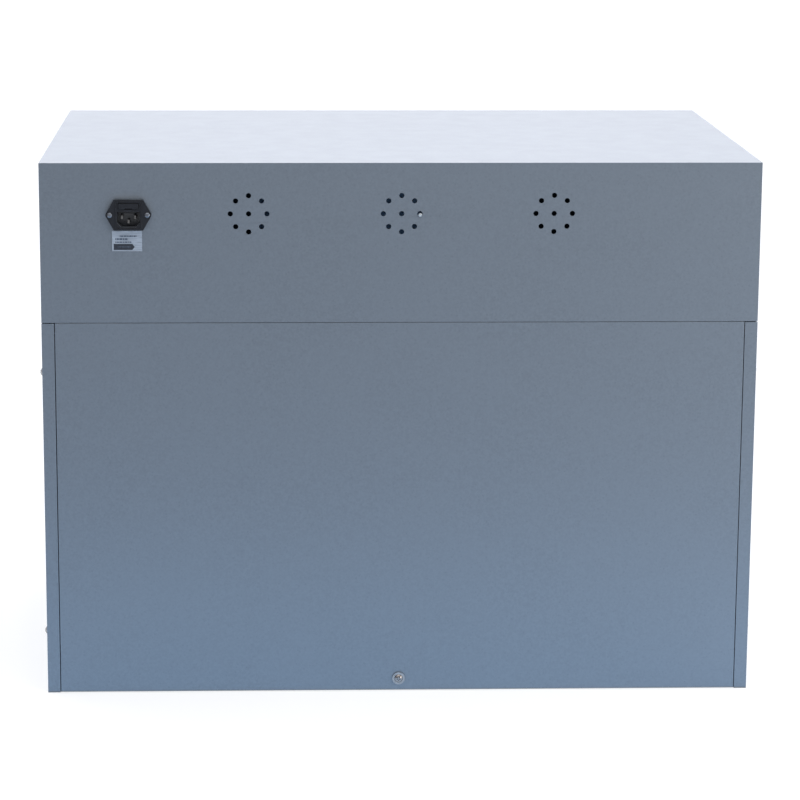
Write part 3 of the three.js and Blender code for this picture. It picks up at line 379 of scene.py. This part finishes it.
MATERIALS = {
    "paint": powder_coat("blue_grey_powder_coat", PAINT),
    "door_paint": powder_coat("door_powder_coat", DOOR_PAINT),
    "galvanised": galvanised(),
    "zinc": plated_metal("bright_zinc", (0.36, 0.35, 0.345), 0.26),
    "nickel": plated_metal("nickel_plate", (0.4, 0.385, 0.36), 0.3),
    "dull": plated_metal("dull_zinc", (0.15, 0.16, 0.18), 0.4),
    "worn": plated_metal("worn_zinc", (0.22, 0.2, 0.19), 0.27),
    # inlet contact blades: metal darkened far below nickel as painted shade, standing for the shadow deep
    # inside the socket
    "painted_shade_contact": plated_metal("contact_metal", (0.13, 0.125, 0.12), 0.4),
    "black": moulded_plastic("black_moulding", (0.008, 0.009, 0.012), 0.5, 0.3, 0.22),
    "grey": moulded_plastic("grey_moulding", (0.06, 0.065, 0.072)),
    "white": moulded_plastic("white_nylon", (0.32, 0.34, 0.35), 0.4, 0.15),
    "pane": clear_pane(),
    "screen": screen_glass(),
    "label": label_film(),
    "board": circuit_board(),
    "sheath": rubber("lead_sheath", (0.018, 0.018, 0.019)),
    "gasket": rubber("window_gasket", (0.012, 0.012, 0.013)),
    "ink": print_ink("dark_ink", (0.022, 0.026, 0.034)),
    "soft_ink": print_ink("soft_ink", (0.06, 0.075, 0.1)),
    "pale_ink": print_ink("pale_ink", (0.55, 0.58, 0.6)),
    "tile_glow": glow("screen_tile", (0.1, 0.36, 0.85), 0.75),
    "free_glow": glow("screen_free_tile", (0.12, 0.7, 0.3), 0.75),
    "white_glow": glow("screen_white", (0.85, 0.93, 1.0), 1.2),
    "floor": lit_table(),
}

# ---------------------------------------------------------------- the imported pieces

LOOKS = {
    "door_paint": ["service_door", "locker_back_wall", "locker_shelf"] + [f"locker_door_{i}" for i in DOORS]
    + [f"locker_divider_{i}" for i in range(1, 4)],
    "galvanised": ["rear_post_left", "rear_post_right", "bay_deck", "cash_tray", "power_supply"]
    + [f"lock_rail_{i}" for i in range(1, 5)],
    "zinc": ["reject_button", "service_lock_barrel", "service_lock_plug"]
    + [f"side_screw_{side}_{level}" for side in ("left", "right") for level in ("lower", "upper")],
    "black": ["display_bezel", "coin_faceplate", "coin_mechanism", "coin_return_flap", "inlet_housing",
              "fuse_drawer"],
    "dull": ["inlet_screw_left", "inlet_screw_right"],
    "worn": ["rear_panel_screw"],
    "painted_shade_contact": ["inlet_contacts"],
    "pane": [f"door_window_{i}" for i in DOORS],
    "screen": ["display_module"],
    "label": ["rating_label"],
    "board": ["controller_board", "charging_rail_lower", "charging_rail_upper"],
    "sheath": ["mains_lead"],
}
FINE_EDGES = {"inlet_housing": 0.3, "fuse_drawer": 0.25, "inlet_contacts": 0.25, "rating_label": 0.05,
              "rear_panel_screw": 0.15, "inlet_screw_left": 0.1, "inlet_screw_right": 0.1,
              "coin_return_flap": 0.25, "controller_board": 0.2, "service_lock_plug": 0.25}
EDGE_WIDTH = 0.5
EDGE_SEGMENTS = 2
EDGE_ANGLE = math.radians(40)
WELD_REACH = 0.002
PANE_DEPTH = 1.8  # from a door's face back to its pane
DOOR_DEPTH = 14
HAIR = 0.3  # how far past a level a face's centre lies before it counts as beyond it
SCREEN_DEPTH = 1  # front part of the display module that is glass
SOCKET_HALF = 13  # half width of the inlet's socket and fuse drawer
SOCKET_START = 0.5  # behind the inlet's flange, where its faces begin to belong to the socket
CARRIER_DEPTH = 1.1  # plate that holds the inlet's contacts
STRIP_THICK = 2  # circuit strip of a charging rail
BOARD_RISE = 8  # of the controller board above the deck
BOARD_THICK = 1.6
BOARD_PARTS = 0.2  # over the board, where its faces begin to belong to the parts on it
BOARD_PILLARS = 0.5  # under the board, where its faces begin to belong to its pillars


def middle(low, high):
    return (low + high) / 2


def soften(piece, width):
    """Rounds a piece's sharp edges slightly, so that they catch the light."""
    weld = piece.modifiers.new("weld", "WELD")
    weld.merge_threshold = WELD_REACH * MM
    bevel = piece.modifiers.new("edges", "BEVEL")
    bevel.width = width * MM
    bevel.segments = EDGE_SEGMENTS
    bevel.limit_method = "ANGLE"
    bevel.angle_limit = EDGE_ANGLE
    bevel.harden_normals = True


def give_second_look(name, look, chosen):
    """Gives another material to the faces of a CAD node whose centre passes the test."""
    mesh = NODES[name].data
    mesh.materials.append(MATERIALS[look])
    slot = len(mesh.materials) - 1
    for face in mesh.polygons:
        if chosen(face.center):
            face.material_index = slot


def dress_nodes():
    """Gives each CAD node its material and softens its folded or moulded edges."""
    look_of = {node: look for look, nodes in LOOKS.items() for node in nodes}
    for name, node in NODES.items():
        node.data.materials.clear()
        node.data.materials.append(MATERIALS[look_of.get(name, "paint")])
        for face in node.data.polygons:
            face.material_index = 0
        if name != "mains_lead":
            soften(node, FINE_EDGES.get(name, EDGE_WIDTH))


def dress_details():
    """Second materials on the nodes that join pieces of several kinds."""
    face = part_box("door_window_1")[0].y - PANE_DEPTH * MM
    door_back = face + DOOR_DEPTH * MM
    for i in DOORS:
        door = f"locker_door_{i}"
        give_second_look(door, "grey", lambda place: place.y < face - HAIR * MM)
        give_second_look(door, "zinc", lambda place: place.y > door_back + HAIR * MM)
    give_second_look("display_module", "black", lambda place: place.y > face + SCREEN_DEPTH * MM)

    housing_low, housing_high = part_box("inlet_housing")
    socket_x = middle(housing_low, housing_high).x
    socket_top = housing_high.y - SOCKET_START * MM
    give_second_look("inlet_housing", "grey",
                     lambda place: place.y < socket_top and abs(place.x - socket_x) < SOCKET_HALF * MM)
    carrier_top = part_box("inlet_contacts")[0].y + CARRIER_DEPTH * MM
    give_second_look("inlet_contacts", "grey", lambda place: place.y < carrier_top)

    for rail in ("charging_rail_lower", "charging_rail_upper"):
        strip_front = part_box(rail)[1].y - STRIP_THICK * MM
        give_second_look(rail, "black", lambda place: place.y < strip_front)
    board_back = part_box("controller_board")[0].z + BOARD_RISE * MM
    board_top = board_back + BOARD_THICK * MM
    give_second_look("controller_board", "black", lambda place: place.z > board_top + BOARD_PARTS * MM)
    give_second_look("controller_board", "zinc", lambda place: place.z < board_back - BOARD_PILLARS * MM)


# ---------------------------------------------------------------- shape tools


def rounded_outline(x, z, width, height, radius, steps=6):
    """The points of a rectangle with round corners about (x, z), in order."""
    points = []
    corners = [(1, -1, -90), (1, 1, 0), (-1, 1, 90), (-1, -1, 180)]
    for side, level, start in corners:
        centre_x = x + side * (width / 2 - radius)
        centre_z = z + level * (height / 2 - radius)
        for k in range(steps + 1):
            angle = math.radians(start + 90 * k / steps)
            points.append((centre_x + radius * math.cos(angle), centre_z + radius * math.sin(angle)))
    return points


def grown_outline(x, z, width, height, radius):
    """Gives the rounded rectangle at any offset outwards, as add_ring asks for it."""
    return lambda offset: rounded_outline(x, z, width + 2 * offset, height + 2 * offset, radius + offset)


def circle_outline(x, z, radius, steps=32):
    """The points of a circle about (x, z), in order."""
    angles = [2 * math.pi * k / steps for k in range(steps)]
    return [(x + radius * math.cos(a), z + radius * math.sin(a)) for a in angles]


def loop_shell(shape, loops, closed):
    """Skins neighbouring loops of points. Either the last joins the first, or both ends are capped."""
    rings = [[shape.verts.new(point) for point in loop] for loop in loops]
    count = len(rings[0])
    pairs = list(zip(rings, rings[1:]))
    if closed:
        pairs.append((rings[-1], rings[0]))
    for first, second in pairs:
        for k in range(count):
            after = (k + 1) % count
            shape.faces.new((first[k], first[after], second[after], second[k]))
    if not closed:
        shape.faces.new(reversed(rings[0]))
        shape.faces.new(rings[-1])


def add_prism(shape, outline, y0, y1):
    """A solid with the outline in the XZ plane, from y0 to y1, in millimetres."""
    loops = [[(x * MM, y * MM, z * MM) for x, z in outline] for y in (y0, y1)]
    loop_shell(shape, loops, False)


def add_box(shape, low, high):
    """A box between two opposite corners, in millimetres."""
    outline = [(low[0], low[2]), (high[0], low[2]), (high[0], high[2]), (low[0], high[2])]
    add_prism(shape, outline, low[1], high[1])


def add_ring(shape, outline_at, profile):
    """A ring with a profile of (offset, y) pairs in millimetres, swept round the outline at each offset."""
    loops = [[(x * MM, y * MM, z * MM) for x, z in outline_at(offset)] for offset, y in profile]
    loop_shell(shape, loops, True)


def lifted(profile, level):
    """A ring's profile with its second numbers measured from a level."""
    return [(offset, level + y) for offset, y in profile]


def add_turned(shape, profile, place, turn, steps):
    """A solid turned about its own Z axis from (radius, height) pairs, then turned and moved into place."""
    loops = []
    for radius, height in profile:
        angles = [2 * math.pi * k / steps for k in range(steps)]
        points = [Vector((radius * math.cos(a), radius * math.sin(a), height)) * MM for a in angles]
        loops.append([turn @ point + Vector(place) * MM for point in points])
    loop_shell(shape, loops, False)


TO_BACK = Matrix.Rotation(math.radians(-90), 3, "X")  # turns +Z to +Y


def make_piece(name, look, body, build, edge=0.0):
    """A mesh piece made by build(shape), with outward faces, riding on a CAD body."""
    shape = bmesh.new()
    build(shape)
    bmesh.ops.recalc_face_normals(shape, faces=shape.faces)
    mesh = bpy.data.meshes.new(name)
    shape.to_mesh(mesh)
    shape.free()
    mesh.materials.append(MATERIALS[look])
    piece = bpy.data.objects.new(name, mesh)
    bpy.context.scene.collection.objects.link(piece)
    if edge:
        soften(piece, edge)
    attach(piece, body)


def make_text(name, text, look, body, place, size, thickness):
    """Raised or printed figures that face -Y, as a mesh riding on a CAD body."""
    curve = bpy.data.curves.new(name, "FONT")
    curve.body = text
    curve.size = size * MM
    curve.extrude = thickness * MM / 2
    curve.align_x = "CENTER"
    curve.align_y = "CENTER"
    source = bpy.data.objects.new(name + "_source", curve)
    bpy.context.scene.collection.objects.link(source)
    mesh = bpy.data.meshes.new_from_object(source.evaluated_get(bpy.context.evaluated_depsgraph_get()))
    bpy.data.objects.remove(source)
    upright = Matrix.Rotation(math.radians(90), 4, "X")
    mesh.transform(Matrix.Translation(Vector(place) * MM) @ upright)
    mesh.materials.clear()
    mesh.materials.append(MATERIALS[look])
    piece = bpy.data.objects.new(name, mesh)
    bpy.context.scene.collection.objects.link(piece)
    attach(piece, body)


def box_mm(node):
    """A CAD node's lowest and highest corners in millimetres."""
    low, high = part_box(node)
    return low / MM, high / MM


# ---------------------------------------------------------------- locker doors

PANE_TO_HOLE = 7  # from a pane's edge in to the edge of the door's hole
GASKET_PROFILE = [(-1.3, 1.7), (-1.3, -0.6), (-0.9, -1.0), (2.4, -1.0), (2.9, -0.6), (2.9, -0.06),
                  (-0.1, -0.06), (-0.1, 1.7)]  # outwards from the hole's edge, back from the door's face
HOLE_RADIUS = 9
CLIP_HALF = 7  # half length of a pane clip
CLIP_LAP = 4  # over the pane
CLIP_REACH = 6  # outwards from the pane's edge
CLIP_LEVELS = (0.2, 1.4)  # behind the pane
FOOT_GAP = 0.5  # between a clip's foot and the pane's edge
FOOT_END = 0.1  # behind the pane
CLIP_EDGE = 0.25
BADGE_SIZE = (24, 13)
BADGE_RADIUS = 3
BADGE_RISE = 9  # above the pane
BADGE_LEVELS = (0.85, 0.05)  # in front of the door
BADGE_EDGE = 0.3
FIGURE_SIZE = 10.5
FIGURE_LIFT = 0.95  # of the figure's middle in front of the door
FIGURE_THICK = 0.3


def window_gasket(i):
    """Rubber edging round a door's window, lapped over the face of the door."""
    low, high = box_mm(f"door_window_{i}")
    centre = middle(low, high)
    width, height = (high - low).x - 2 * PANE_TO_HOLE, (high - low).z - 2 * PANE_TO_HOLE

    def build(shape):
        add_ring(shape, grown_outline(centre.x, centre.z, width, height, HOLE_RADIUS),
                 lifted(GASKET_PROFILE, low.y - PANE_DEPTH))

    make_piece(f"window_gasket_{i}", "gasket", f"door_{i}", build)


def pane_clips(i):
    """Four clips inside the door that hold the pane against its back."""
    low, high = box_mm(f"door_window_{i}")
    centre = middle(low, high)
    tongue_levels = [high.y + level for level in CLIP_LEVELS]
    foot_levels = [low.y, high.y + FOOT_END]

    def span(edge, side, start):
        return sorted((edge + side * start, edge + side * CLIP_REACH))

    def build(shape):
        for start, (front, back) in ((-CLIP_LAP, tongue_levels), (FOOT_GAP, foot_levels)):
            for side, edge in ((-1, low.x), (1, high.x)):
                first, last = span(edge, side, start)
                add_box(shape, (first, front, centre.z - CLIP_HALF), (last, back, centre.z + CLIP_HALF))
            for side, edge in ((-1, low.z), (1, high.z)):
                first, last = span(edge, side, start)
                add_box(shape, (centre.x - CLIP_HALF, front, first), (centre.x + CLIP_HALF, back, last))

    make_piece(f"pane_clips_{i}", "grey", f"door_{i}", build, CLIP_EDGE)


def door_badge(i):
    """Number plate above the window, with a raised figure."""
    low, high = box_mm(f"door_window_{i}")
    front = low.y - PANE_DEPTH
    x = middle(low, high).x
    z = high.z + BADGE_RISE
    plate = rounded_outline(x, z, *BADGE_SIZE, BADGE_RADIUS)
    levels = [front - level for level in BADGE_LEVELS]
    make_piece(f"door_badge_{i}", "pale_ink", f"door_{i}",
               lambda shape: add_prism(shape, plate, *levels), BADGE_EDGE)
    figure_place = (x, front - FIGURE_LIFT, z)
    make_text(f"door_figure_{i}", str(i), "ink", f"door_{i}", figure_place, FIGURE_SIZE, FIGURE_THICK)


# ---------------------------------------------------------------- service door

SCREEN_PRINT = (0.2, 0.05)  # in front of the glass
TILE = (43, 30)
TILE_RADIUS = 3
TILE_PITCH = (47.5, 34)
TILES_RISE = 5.5  # of the upper row's middle above the screen's
TILE_FIGURE_LIFT = 0.28
TILE_FIGURE_SIZE = 15
TILE_FIGURE_THICK = 0.1
FREE_LOCKERS = (2, 5, 6)
SIGN_PLACE = (80, 43)  # battery sign, from the screen's middle
SIGN_SIZE = (20, 9)
SIGN_RADIUS = 2
SIGN_LINE = 1
CHARGE = (-2.5, 11, 5, 0.6)  # place in the sign, width, height and corner radius
TERMINAL = (11.6, 1.4, 4, 0.5)
TITLE_LINE = (-38, 104, 2.4, 1.1)  # the same, from the screen's middle

FACEPLATE_LIP = 3  # the plate's flat front lies this far in front of its back edge
SLOT_PLACE = (12, 32)  # coin slot, from the faceplate's middle
SLOT_SIZE = (5, 33.4)
SLOT_RADIUS = 0.7
SLOT_RIM = [(0, -0.05), (0, -0.7), (0.4, -0.9), (2.1, -0.7), (2.3, -0.05)]  # outwards, back from the face
BUTTON_HOLE_RADIUS = 6.8
BUTTON_RIM = [(0, -0.05), (0, -0.9), (0.5, -1.1), (2, -0.6), (2.2, -0.05)]
COINS = [(-14, 5.2), (0, 4.4), (12, 3.7)]  # place across the plate and radius
COIN_DROP = 3  # below the plate's middle
COIN_LINE = [(0, -0.03), (0, -0.12), (-0.6, -0.12), (-0.6, -0.03)]


def screen_page():
    """The display's page: one tile for each locker under a line with a battery sign."""
    low, high = box_mm("display_module")
    screen = low.y
    centre = middle(low, high)
    front, back = (screen - level for level in SCREEN_PRINT)

    def place_of(i):
        row, column = divmod(i - 1, DOOR_COLUMNS)
        x = centre.x + (column - (DOOR_COLUMNS - 1) / 2) * TILE_PITCH[0]
        return x, centre.z + TILES_RISE - row * TILE_PITCH[1]

    def build_tiles(shape, lockers):
        for i in lockers:
            add_prism(shape, rounded_outline(*place_of(i), *TILE, TILE_RADIUS), front, back)

    taken = [i for i in DOORS if i not in FREE_LOCKERS]
    for name, look, lockers in (("screen_tiles", "tile_glow", taken),
                                ("screen_free_tiles", "free_glow", FREE_LOCKERS)):
        make_piece(name, look, "service_door", lambda shape: build_tiles(shape, lockers))
    for i in DOORS:
        x, z = place_of(i)
        make_text(f"screen_figure_{i}", str(i), "white_glow", "service_door",
                  (x, screen - TILE_FIGURE_LIFT, z), TILE_FIGURE_SIZE, TILE_FIGURE_THICK)

    def build_header(shape):
        sign_x, z = centre.x + SIGN_PLACE[0], centre.z + SIGN_PLACE[1]
        add_ring(shape, grown_outline(sign_x, z, *SIGN_SIZE, SIGN_RADIUS),
                 [(0, back), (0, front), (-SIGN_LINE, front), (-SIGN_LINE, back)])
        for start, bar in ((sign_x, CHARGE), (sign_x, TERMINAL), (centre.x, TITLE_LINE)):
            across, width, height, radius = bar
            add_prism(shape, rounded_outline(start + across, z, width, height, radius), front, back)

    make_piece("screen_header", "white_glow", "service_door", build_header)


def coin_face_details():
    """Plated rims round the slot and the button, and printed coin outlines between them and the cup."""
    low, high = box_mm("coin_faceplate")
    centre = middle(low, high)
    plate_front = high.y - FACEPLATE_LIP
    slot_x, slot_z = centre.x + SLOT_PLACE[0], centre.z + SLOT_PLACE[1]
    button = middle(*box_mm("reject_button"))

    def slot_rim(shape):
        add_ring(shape, grown_outline(slot_x, slot_z, *SLOT_SIZE, SLOT_RADIUS), lifted(SLOT_RIM, low.y))

    def button_rim(shape):
        add_ring(shape, lambda offset: circle_outline(button.x, button.z, BUTTON_HOLE_RADIUS + offset),
                 lifted(BUTTON_RIM, plate_front))

    def coin_outlines(shape):
        z = centre.z - COIN_DROP
        for across, radius in COINS:
            add_ring(shape, lambda offset: circle_outline(centre.x + across, z, radius + offset),
                     lifted(COIN_LINE, plate_front))

    make_piece("coin_slot_rim", "nickel", "service_door", slot_rim)
    make_piece("reject_button_rim", "nickel", "service_door", button_rim)
    make_piece("coin_outlines", "pale_ink", "service_door", coin_outlines)


# ---------------------------------------------------------------- inside the lockers and the header

PORT_MOUTH = (12.2, 4.6)
PORT_RADIUS = 0.6
LINER = [(0, -0.3), (0, 9), (-0.3, 9), (-0.3, -0.3)]  # outwards, back from the port's mouth
TONGUE = ((-5, 1, 0.1), (5, 9.6, 1.5))  # corners, from the middle of the port's mouth
TONGUE_EDGE = 0.15
CONTACTS = 4
CONTACT = ((-3.9, 2, -0.12), (-2.7, 8, 0.05))
CONTACT_PITCH = 2.2

CHIP_ROWS = 3
CHIP_COLUMNS = 6
CHIP_START = (-46, -32)  # from the board's middle
CHIP_PITCH = (4.2, 9)
CHIP_SIZE = (2.6, 4.2, 1.1)  # the length in the middle grows by 1 from row to row
CHIP_EDGE = 0.15
PLUGS = 5
PLUG_START = (-12, 34)
PLUG_PITCH = 7
PLUG_SIZE = (4.6, 7, 1.8)
PART_GAP = 0.05  # between the board and the parts on it

LOUVRE_ROWS = 2
LOUVRES = 14
LOUVRE_START = (34, 24)  # from the supply's corner
LOUVRE_PITCH = (12, 42)
LOUVRE_SIZE = (3.5, 26)
LOUVRE_LEVELS = (0.05, 1.3)  # above the lid
LOUVRE_EDGE = 0.5
LEAD_RADIUS = 3.3
GLAND_GAP = 0.4
GLAND_STEPS = 24
GLAND_PROFILE = [(3.9, 0), (6.4, 0), (6.4, 1.6), (5.2, 1.9), (5.2, 2.6), (6, 2.9), (6, 4), (4.8, 4.4),
                 (4.8, 5.4), (3.9, 5.4)]  # radius, and how far out from the supply's end


def port_middles(rail):
    """The middles of one row's charging ports, from the boxes that the record keeps clear for plugs."""
    low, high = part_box(rail)
    places = []
    for opening in frame["record"]["physics"]["openings"]:
        first, last = (Vector(corner) for corner in opening["box_m"])
        if opening["name"].startswith("charging_port") and low.z < first.z < high.z:
            places.append(middle(first, last) / MM)
    return places


def charging_port_details():
    """A metal liner and a tongue with four contacts in each charging port."""
    for rail in ("charging_rail_lower", "charging_rail_upper"):
        mouth = box_mm(rail)[0].y
        places = port_middles(rail)

        def liners(shape):
            for place in places:
                outline = grown_outline(place.x, place.z, *PORT_MOUTH, PORT_RADIUS)
                add_ring(shape, outline, lifted(LINER, mouth))

        def tongues(shape):
            for place in places:
                add_box(shape, *(Vector((place.x, mouth, place.z)) + Vector(corner) for corner in TONGUE))

        def contacts(shape):
            for place in places:
                for k in range(CONTACTS):
                    start = Vector((place.x + k * CONTACT_PITCH, mouth, place.z))
                    add_box(shape, *(start + Vector(corner) for corner in CONTACT))

        row = rail.rsplit("_", 1)[1]
        make_piece(f"port_liners_{row}", "nickel", "cabinet", liners)
        make_piece(f"port_tongues_{row}", "white", "cabinet", tongues, TONGUE_EDGE)
        make_piece(f"port_contacts_{row}", "nickel", "cabinet", contacts)


def board_components():
    """Small chips in rows and a row of plug sockets on the free parts of the controller board."""
    low, high = box_mm("controller_board")
    top = low.z + BOARD_RISE + BOARD_THICK + PART_GAP
    centre = middle(low, high)

    def add_part(shape, x, y, width, length, height):
        add_box(shape, (x, y, top), (x + width, y + length, top + height))

    def build(shape):
        width, length, height = CHIP_SIZE
        for row in range(CHIP_ROWS):
            for column in range(CHIP_COLUMNS):
                x = centre.x + CHIP_START[0] + column * CHIP_PITCH[0]
                y = centre.y + CHIP_START[1] + row * CHIP_PITCH[1]
                add_part(shape, x, y, width, length + row, height)
        for k in range(PLUGS):
            add_part(shape, centre.x + PLUG_START[0] + k * PLUG_PITCH, centre.y + PLUG_START[1], *PLUG_SIZE)

    make_piece("board_chips", "grey", "cabinet", build, CHIP_EDGE)


def supply_details():
    """Raised louvres on the power supply's lid and a ribbed gland where the mains lead enters its end."""
    low, high = box_mm("power_supply")
    lead_end = box_mm("mains_lead")[0] + Vector((0, LEAD_RADIUS, LEAD_RADIUS))
    foot, top = (high.z + level for level in LOUVRE_LEVELS)

    def louvres(shape):
        for row in range(LOUVRE_ROWS):
            for k in range(LOUVRES):
                x = low.x + LOUVRE_START[0] + k * LOUVRE_PITCH[0]
                y = low.y + LOUVRE_START[1] + row * LOUVRE_PITCH[1]
                add_box(shape, (x, y, foot), (x + LOUVRE_SIZE[0], y + LOUVRE_SIZE[1], top))

    def gland(shape):
        loops = []
        for radius, reach in GLAND_PROFILE:
            circle = circle_outline(lead_end.y, lead_end.z, radius, GLAND_STEPS)
            loops.append([Vector((high.x + GLAND_GAP + reach, y, z)) * MM for y, z in circle])
        loop_shell(shape, loops, True)

    make_piece("supply_louvres", "galvanised", "cabinet", louvres, LOUVRE_EDGE)
    make_piece("supply_gland", "black", "cabinet", gland)


# ---------------------------------------------------------------- back of the cabinet

RIM_SIZE = (25.8, 28.4)
RIM_RADIUS = 1.2
RIM_DROP = 0.2  # below the housing's middle
RIM = [(0, 0.05), (0, 0.5), (0.2, 0.7), (0.9, 0.7), (1.1, 0.5), (1.1, 0.05)]  # outwards, off the flange
PRINT = (0.02, 0.07)  # levels of the print over the label's film
OVERPRINT = (0.08, 0.12)  # and of the line printed on the bar
DASH = 1.1  # shortest dash
DASH_STEP = 0.55  # by which a dash can be longer, up to four times
DASH_GAP = 0.45
BAR_INSETS = (1.7, 21.6, 24)  # of the bar's end, its shoulders and its point, from the left
BAR_HEIGHTS = (-9.6, -3.1)  # from the label's middle
BAR_LINE = (6, 14, -6.3, 0.8)
TEXT_ROWS = [  # inset from the left end, length, height above the label's middle, height of the dashes
    (8.2, 18, 5.2, 1.7),
    (3.6, 13.5, 2, 2.2),
    (3.6, 17.3, -1.2, 1.4),
]
VENT_CLIP_PLACE = (-19.8, 529.3)  # x and z
VENT_CLIP_LIFT = 0.1  # out from the back
VENT_CLIP_STEPS = 20
VENT_CLIP_PROFILE = [(1.2, -3.5), (1.2, 0.15), (1.7, 0.2), (1.95, 0.6), (1.75, 1.3), (1.25, 1.8),
                     (0.6, 2.05), (0.1, 2.1)]  # radius and height of its stem and head


def inlet_details():
    """Raised rim round the inlet's socket and fuse drawer."""
    low, high = box_mm("inlet_housing")
    centre = middle(low, high)

    def rim(shape):
        outline = grown_outline(centre.x, centre.z - RIM_DROP, *RIM_SIZE, RIM_RADIUS)
        add_ring(shape, outline, lifted(RIM, high.y))

    make_piece("inlet_rim", "black", "cabinet", rim)


def dashes(shape, left, length, z, height, y0, y1):
    """A line of unreadable dummy print: short bars of uneven length, from left towards -X."""
    done = 0.0
    k = 0
    while done < length:
        run = min(DASH + (k * 7 % 5) * DASH_STEP, length - done)
        add_box(shape, (left - done - run, y0, z - height / 2), (left - done, y1, z + height / 2))
        done += run + DASH_GAP
        k += 1


def label_print():
    """Lines of dummy print and a dark pointed bar with a softer line on it."""
    low, high = box_mm("rating_label")
    centre = middle(low, high)
    left = high.x
    print_levels = [high.y + level for level in PRINT]
    overprint_levels = [high.y + level for level in OVERPRINT]

    def row_of_dashes(shape, row, levels):
        inset, length, rise, height = row
        dashes(shape, left - inset, length, centre.z + rise, height, *levels)

    def rows(shape):
        for row in TEXT_ROWS:
            row_of_dashes(shape, row, print_levels)

    def bar(shape):
        end, shoulder, tip = (left - inset for inset in BAR_INSETS)
        z0, z1 = (centre.z + height for height in BAR_HEIGHTS)
        outline = [(end, z0), (shoulder, z0), (tip, (z0 + z1) / 2), (shoulder, z1), (end, z1)]
        add_prism(shape, outline, *print_levels)

    def bar_line(shape):
        row_of_dashes(shape, BAR_LINE, overprint_levels)

    make_piece("label_print", "soft_ink", "cabinet", rows)
    make_piece("label_bar", "ink", "cabinet", bar)
    make_piece("label_bar_print", "soft_ink", "cabinet", bar_line)


def vent_clip():
    """Nylon cable clip whose head shows at the lower edge of a hole in the middle vent."""
    back = box_mm("rear_access_panel")[1].y
    x, z = VENT_CLIP_PLACE
    place = (x, back + VENT_CLIP_LIFT, z)
    make_piece("vent_clip", "white", "cabinet",
               lambda shape: add_turned(shape, VENT_CLIP_PROFILE, place, TO_BACK, VENT_CLIP_STEPS))


make_camera()
make_world()
make_lights()
make_floor()
dress_nodes()
dress_details()
for number in DOORS:
    window_gasket(number)
    pane_clips(number)
    door_badge(number)
screen_page()
coin_face_details()
charging_port_details()
board_components()
supply_details()
inlet_details()
label_print()
vent_clip()

scene = bpy.context.scene
scene.view_settings.view_transform = "Standard"
